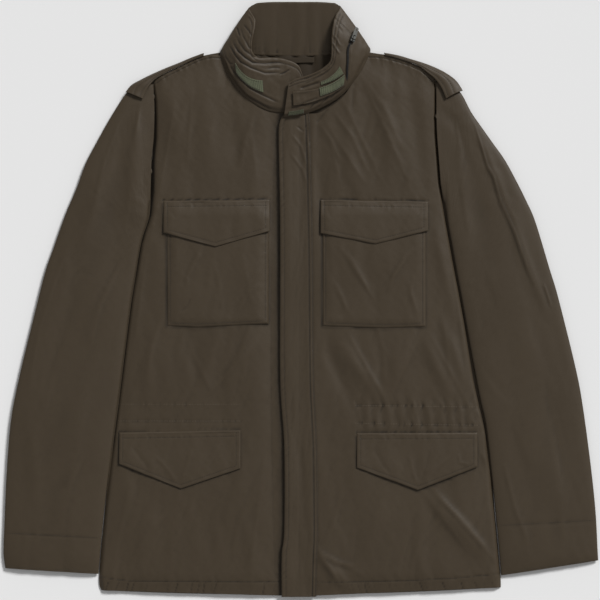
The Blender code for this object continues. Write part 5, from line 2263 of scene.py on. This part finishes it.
@dataclass
class Collar(Jacket):
    """The stand collar with the hood rolled inside, its tab, its pads and its zip."""

    along: int = 430
    up: int = 70
    long: float = 500.0
    high: float = 58.0
    station_long: float = 20.0
    turns: tuple[float, float] = (8.6, 16.2)
    turn_wide: float = 1.2
    base_dip: float = 3.2
    base_dip_up: float = 0.12
    pad_lift: float = 0.45
    tab_lift: float = 2.0
    pad_hem: float = 1.6
    pad_short_side: float = 0.0101
    zip_wide: float = 3.0
    zip_long: float = 66.0
    seed: int = 81

    def rule(self, station: Array) -> tuple[Array, Array, Array]:
        """The band's base, top and belly at stations."""
        columns = read_table(COLLAR_BANDS, station)
        return np.stack(columns[0:3], 1), np.stack(columns[3:6], 1), columns[6]

    def middle(self, station: Array, t: Array) -> Array:
        """A point in the middle of the band's wall, as the solid has it.

        Args:
            station: Places along the band.
            t: Shares of the way up it.

        Returns:
            The points.
        """
        base, top, belly = self.rule(station)
        low_before, top_before, _ = self.rule(station - 0.05)
        low_after, top_after, _ = self.rule(station + 0.05)
        out = np.cross(top - base, low_after + top_after - low_before - top_before)
        out /= np.linalg.norm(out, axis=1, keepdims=True)
        t = t[:, None]
        return between(base, top, t) + out * (4.0 * t * (1.0 - t) * belly[:, None])

    def directions(self, station: Array, t: Array) -> tuple[Array, Array]:
        """The band's unit directions outwards and along.

        Args:
            station: Places along the band.
            t: Shares of the way up it.

        Returns:
            Outwards, and along.
        """
        along = self.middle(station + 0.05, t) - self.middle(station - 0.05, t)
        up = self.middle(station, t + 0.02) - self.middle(station, t - 0.02)
        out = np.cross(up, along)
        return tuple(way / np.linalg.norm(way, axis=1, keepdims=True) for way in (out, along))

    def face(self, station: Array, t: Array, lift: Array | float) -> Array:
        """A point off the middle of the band, outwards by lift."""
        out, _ = self.directions(station, t)
        return self.middle(station, t) + out * np.broadcast_to(lift, t.shape)[:, None]

    def front_share(self, station: Array) -> Array:
        """1 in the band's front parts and 0 at the back of the neck."""
        past_right, past_left = (eased((station - turn) / self.turn_wide) for turn in self.turns)
        return 1.0 - past_right * (1.0 - past_left)

    def relief(self, station: Array, t: Array) -> Array:
        """Wrinkles and seams of the band: outside in its front parts, inside at the back.

        Args:
            station: Places along the band.
            t: Shares of the way up it.

        Returns:
            The height.
        """
        p, q = station * self.station_long, t * self.high
        front = self.front_share(station)
        x, y, _ = self.middle(station, t).T
        found = wrinkle_height(x, y, COLLAR_WRINKLES) + seam_height(p, q, COLLAR_SEAMS)
        found += 0.4 * noise(p, q, 13.0, 6.0, self.seed) * np.sin(np.pi * t)
        found += 0.2 * noise(x, y, 4.5, 8.0, self.seed + 1)
        ruffle = 1.1 * noise(x, 0 * q, 2.3, 9.0, self.seed + 2) * np.exp(-q / 6.0) * eased(q / 1.5)
        ruffle += 0.5 * noise(x, q, 10.0, 70.0, self.seed + 3)
        ruffle += 0.3 * noise(x, q, 4.0, 9.0, self.seed + 4) * np.exp(-(self.high - q) / 7.0)
        return found * front - ruffle * (1.0 - front)

    def outer(self, u: Array, v: Array) -> Array:
        """A point of the band's outer face; u runs from the wearer's left end to the right end.

        Args:
            u: Places across.
            v: Places along.

        Returns:
            The points.
        """
        station = (1.0 - u) * (len(COLLAR_BANDS) - 1)
        point = self.face(station, v, COLLAR_WALL / 2 + self.relief(station, v))
        point[:, 2] -= self.base_dip * self.front_share(station) * (1.0 - eased(v / self.base_dip_up))
        return point

    def on_band(self, pad: Pad, lift: float) -> Face:
        """The outer face of a piece that lies on the band.

        Args:
            pad: The piece.
            lift: How far its outer face stands off the middle of the band's wall.

        Returns:
            The face.
        """
        low_left, low_right, high_right, high_left = (np.array(corner) for corner in pad[1:5])

        def outer(u: Array, v: Array) -> Array:
            """A point of the piece's outer face.

            Args:
                u: Places across.
                v: Places along.

            Returns:
                The points.
            """
            u, v = u[:, None], v[:, None]
            station, t = between(between(low_left, low_right, u), between(high_left, high_right, u), v).T
            return self.face(station, t, lift + self.relief(station, t))

        return outer

    def build(self) -> None:
        """Makes every piece of the collar."""
        size = (self.long, self.high, self.along, self.up, COLLAR_WALL)
        shell = Shell("collar_cloth", self.outer, *size, edge=1.6, inside_step=1)
        piece = self.lay(shell, "collar")
        thread = Thread("collar_stitches", 3.2, 0.5)
        for seam in COLLAR_SEAMS:
            self.sew_band(seam.points, thread)
        self.sew(thread)
        self.build_pads()
        Neck(self.finishes).build()
        self.build_zip()

    def sew_band(self, points: tuple[tuple[float, float], ...], thread: Thread) -> None:
        """Sews a row along a line of the band, given in its own millimetres.

        Args:
            points: The line's corners.
            thread: What takes the stitches.
        """
        for (p1, q1), (p2, q2) in zip(points, points[1:]):
            count = max(2, int(math.hypot(p2 - p1, q2 - q1) / ROW_STEP))
            station = np.linspace(p1, p2, count) / self.station_long
            t = np.linspace(q1, q2, count) / self.high
            face_row(self.outer, 1.0 - station / (len(COLLAR_BANDS) - 1), t, thread)

    def build_pads(self) -> None:
        """Makes the throat tab and the four pads of touch fastener."""
        thread = Thread("tab_stitches", 3.0, 0.5)
        on_collar = COLLAR_WALL / 2 + self.pad_lift + PAD_WALL
        tab_face = COLLAR_WALL / 2 + self.tab_lift + TRIM_WALL
        for pad in PADS:
            on_tab = pad.name == "tab_hook_pad"
            outer = self.on_band(pad, tab_face + self.pad_lift + PAD_WALL if on_tab else on_collar)
            shell = Shell(pad.name + "_pile", outer, pad.wide, pad.long, 40, 20, PAD_WALL, 0.6)
            # The placket's pad takes the pile's darker copy, with painted shade
            finish = self.finishes.shaded_pile if pad.name == "placket_pad" else self.finishes.pile
            piece = self.dress(shell.build(), finish, "fastener_green", pad.name)
            flat = (pad.wide * MM, max(pad.long * MM, self.pad_short_side))
            pad.wide * pad.long * MM**2
            in_u, in_v = self.pad_hem / pad.wide, self.pad_hem / pad.long
            us = np.linspace(in_u, 1 - in_u, 40)
            for row in (in_v, 1 - in_v):
                face_row(outer, us, row, thread)
        outer = self.on_band(TAB, tab_face)
        shell = Shell(TAB.name + "_cloth", outer, TAB.wide, TAB.long, 90, 30, TRIM_WALL, 0.9)
        piece = self.lay(shell, TAB.name)
        us = np.linspace(0.02, 0.98, 90)
        for row in (0.14, 0.86):
            face_row(outer, us, row, thread)
        self.sew(thread)

    def zip_face(self, u: Array, v: Array) -> Array:
        """A point of the zip tape's outer face: v runs from the back of the neck to the throat.

        Args:
            u: Places across.
            v: Places along.

        Returns:
            The points.
        """
        station, t = read_table(ZIP_RUN, v * (len(ZIP_RUN) - 1))
        side = np.cross(*self.directions(station, t))
        here = self.face(station, t, COLLAR_WALL / 2 + self.pad_lift + PAD_WALL)
        return here + side * ((0.5 - u) * self.zip_wide)[:, None]

    def build_zip(self) -> None:
        """Makes the hood zip's tape and coil, and gives the slider and pull their finish."""
        outer = self.zip_face
        shell = Shell("hood_zip_tape", outer, self.zip_wide, self.zip_long, 12, 90, 0.8, 0.4)
        piece = self.dress(shell.build(), self.finishes.tape, "zip_tape", "hood_zip")
        coil = Thread("hood_zip_coil", 1.3, 0.8)
        vs = np.linspace(0.01, 0.99, 160)
        for place in (0.36, 0.64):
            face_row(outer, place, vs, coil)
        self.dress(coil.build(), self.finishes.tape, "zip_tape")
        for node in ("zip_slider", "zip_pull"):
            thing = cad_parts[node]
            thing.data.materials.clear()
            thing.data.materials.append(self.finishes.metal)


# ---------------------------------------------------------------- studio


@dataclass
class Studio:
    """A pale floor, soft light from the upper right and a camera straight above."""

    height: float = 3.0
    field: float = 0.84
    floor_size: float = 8.0
    floor_z: float = -0.0004
    floor_tone: tuple[float, float, float] = (0.80, 0.80, 0.80)
    room: float = 0.36
    key: float = 3.1
    key_from: tuple[float, float, float] = (0.62, 0.78, 0.78)
    softness: float = 16.0

    def build(self) -> None:
        """Makes the floor, the lights and the camera."""
        scene = bpy.context.scene
        scene.view_settings.view_transform = "Standard"
        bpy.ops.object.select_all(action="DESELECT")
        bpy.ops.mesh.primitive_plane_add(size=self.floor_size, location=(0, 0, self.floor_z))
        floor = bpy.context.object
        floor.name = "floor"
        floor.data.materials.append(Plain("pale_floor", self.floor_tone, 0.9, 0.004, 3.0).material())
        world = bpy.data.worlds.new("studio_air")
        world.use_nodes = True
        air = world.node_tree.nodes["Background"].inputs
        air["Color"].default_value, air["Strength"].default_value = (1, 1, 1, 1), self.room
        scene.world = world
        light = bpy.data.lights.new("key_light", "SUN")
        light.angle, light.energy = math.radians(self.softness), self.key
        lamp = bpy.data.objects.new("key_light", light)
        lamp.matrix_world = Vector(self.key_from).to_track_quat("Z", "Y").to_matrix().to_4x4()
        scene.collection.objects.link(lamp)
        camera = bpy.data.cameras.new("camera")
        camera.lens = camera.sensor_width * self.height / self.field
        holder = bpy.data.objects.new("camera", camera)
        holder.location = (0, 0, self.height)
        scene.collection.objects.link(holder)
        scene.camera = holder


def main() -> None:
    """Builds the jacket piece by piece, then the studio."""
    logging.basicConfig(level=logging.INFO, format="%(name)s: %(message)s")
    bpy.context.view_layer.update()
    finishes = Finishes()
    Body(finishes).build()
    Placket(finishes).build()
    for side in Side:
        Sleeve(finishes, side=side).build()
        Pockets(finishes, side=side).build()
        Epaulette(finishes, side=side).build()
    Collar(finishes).build()
    Studio().build()


if __name__ == "__main__":
    main()
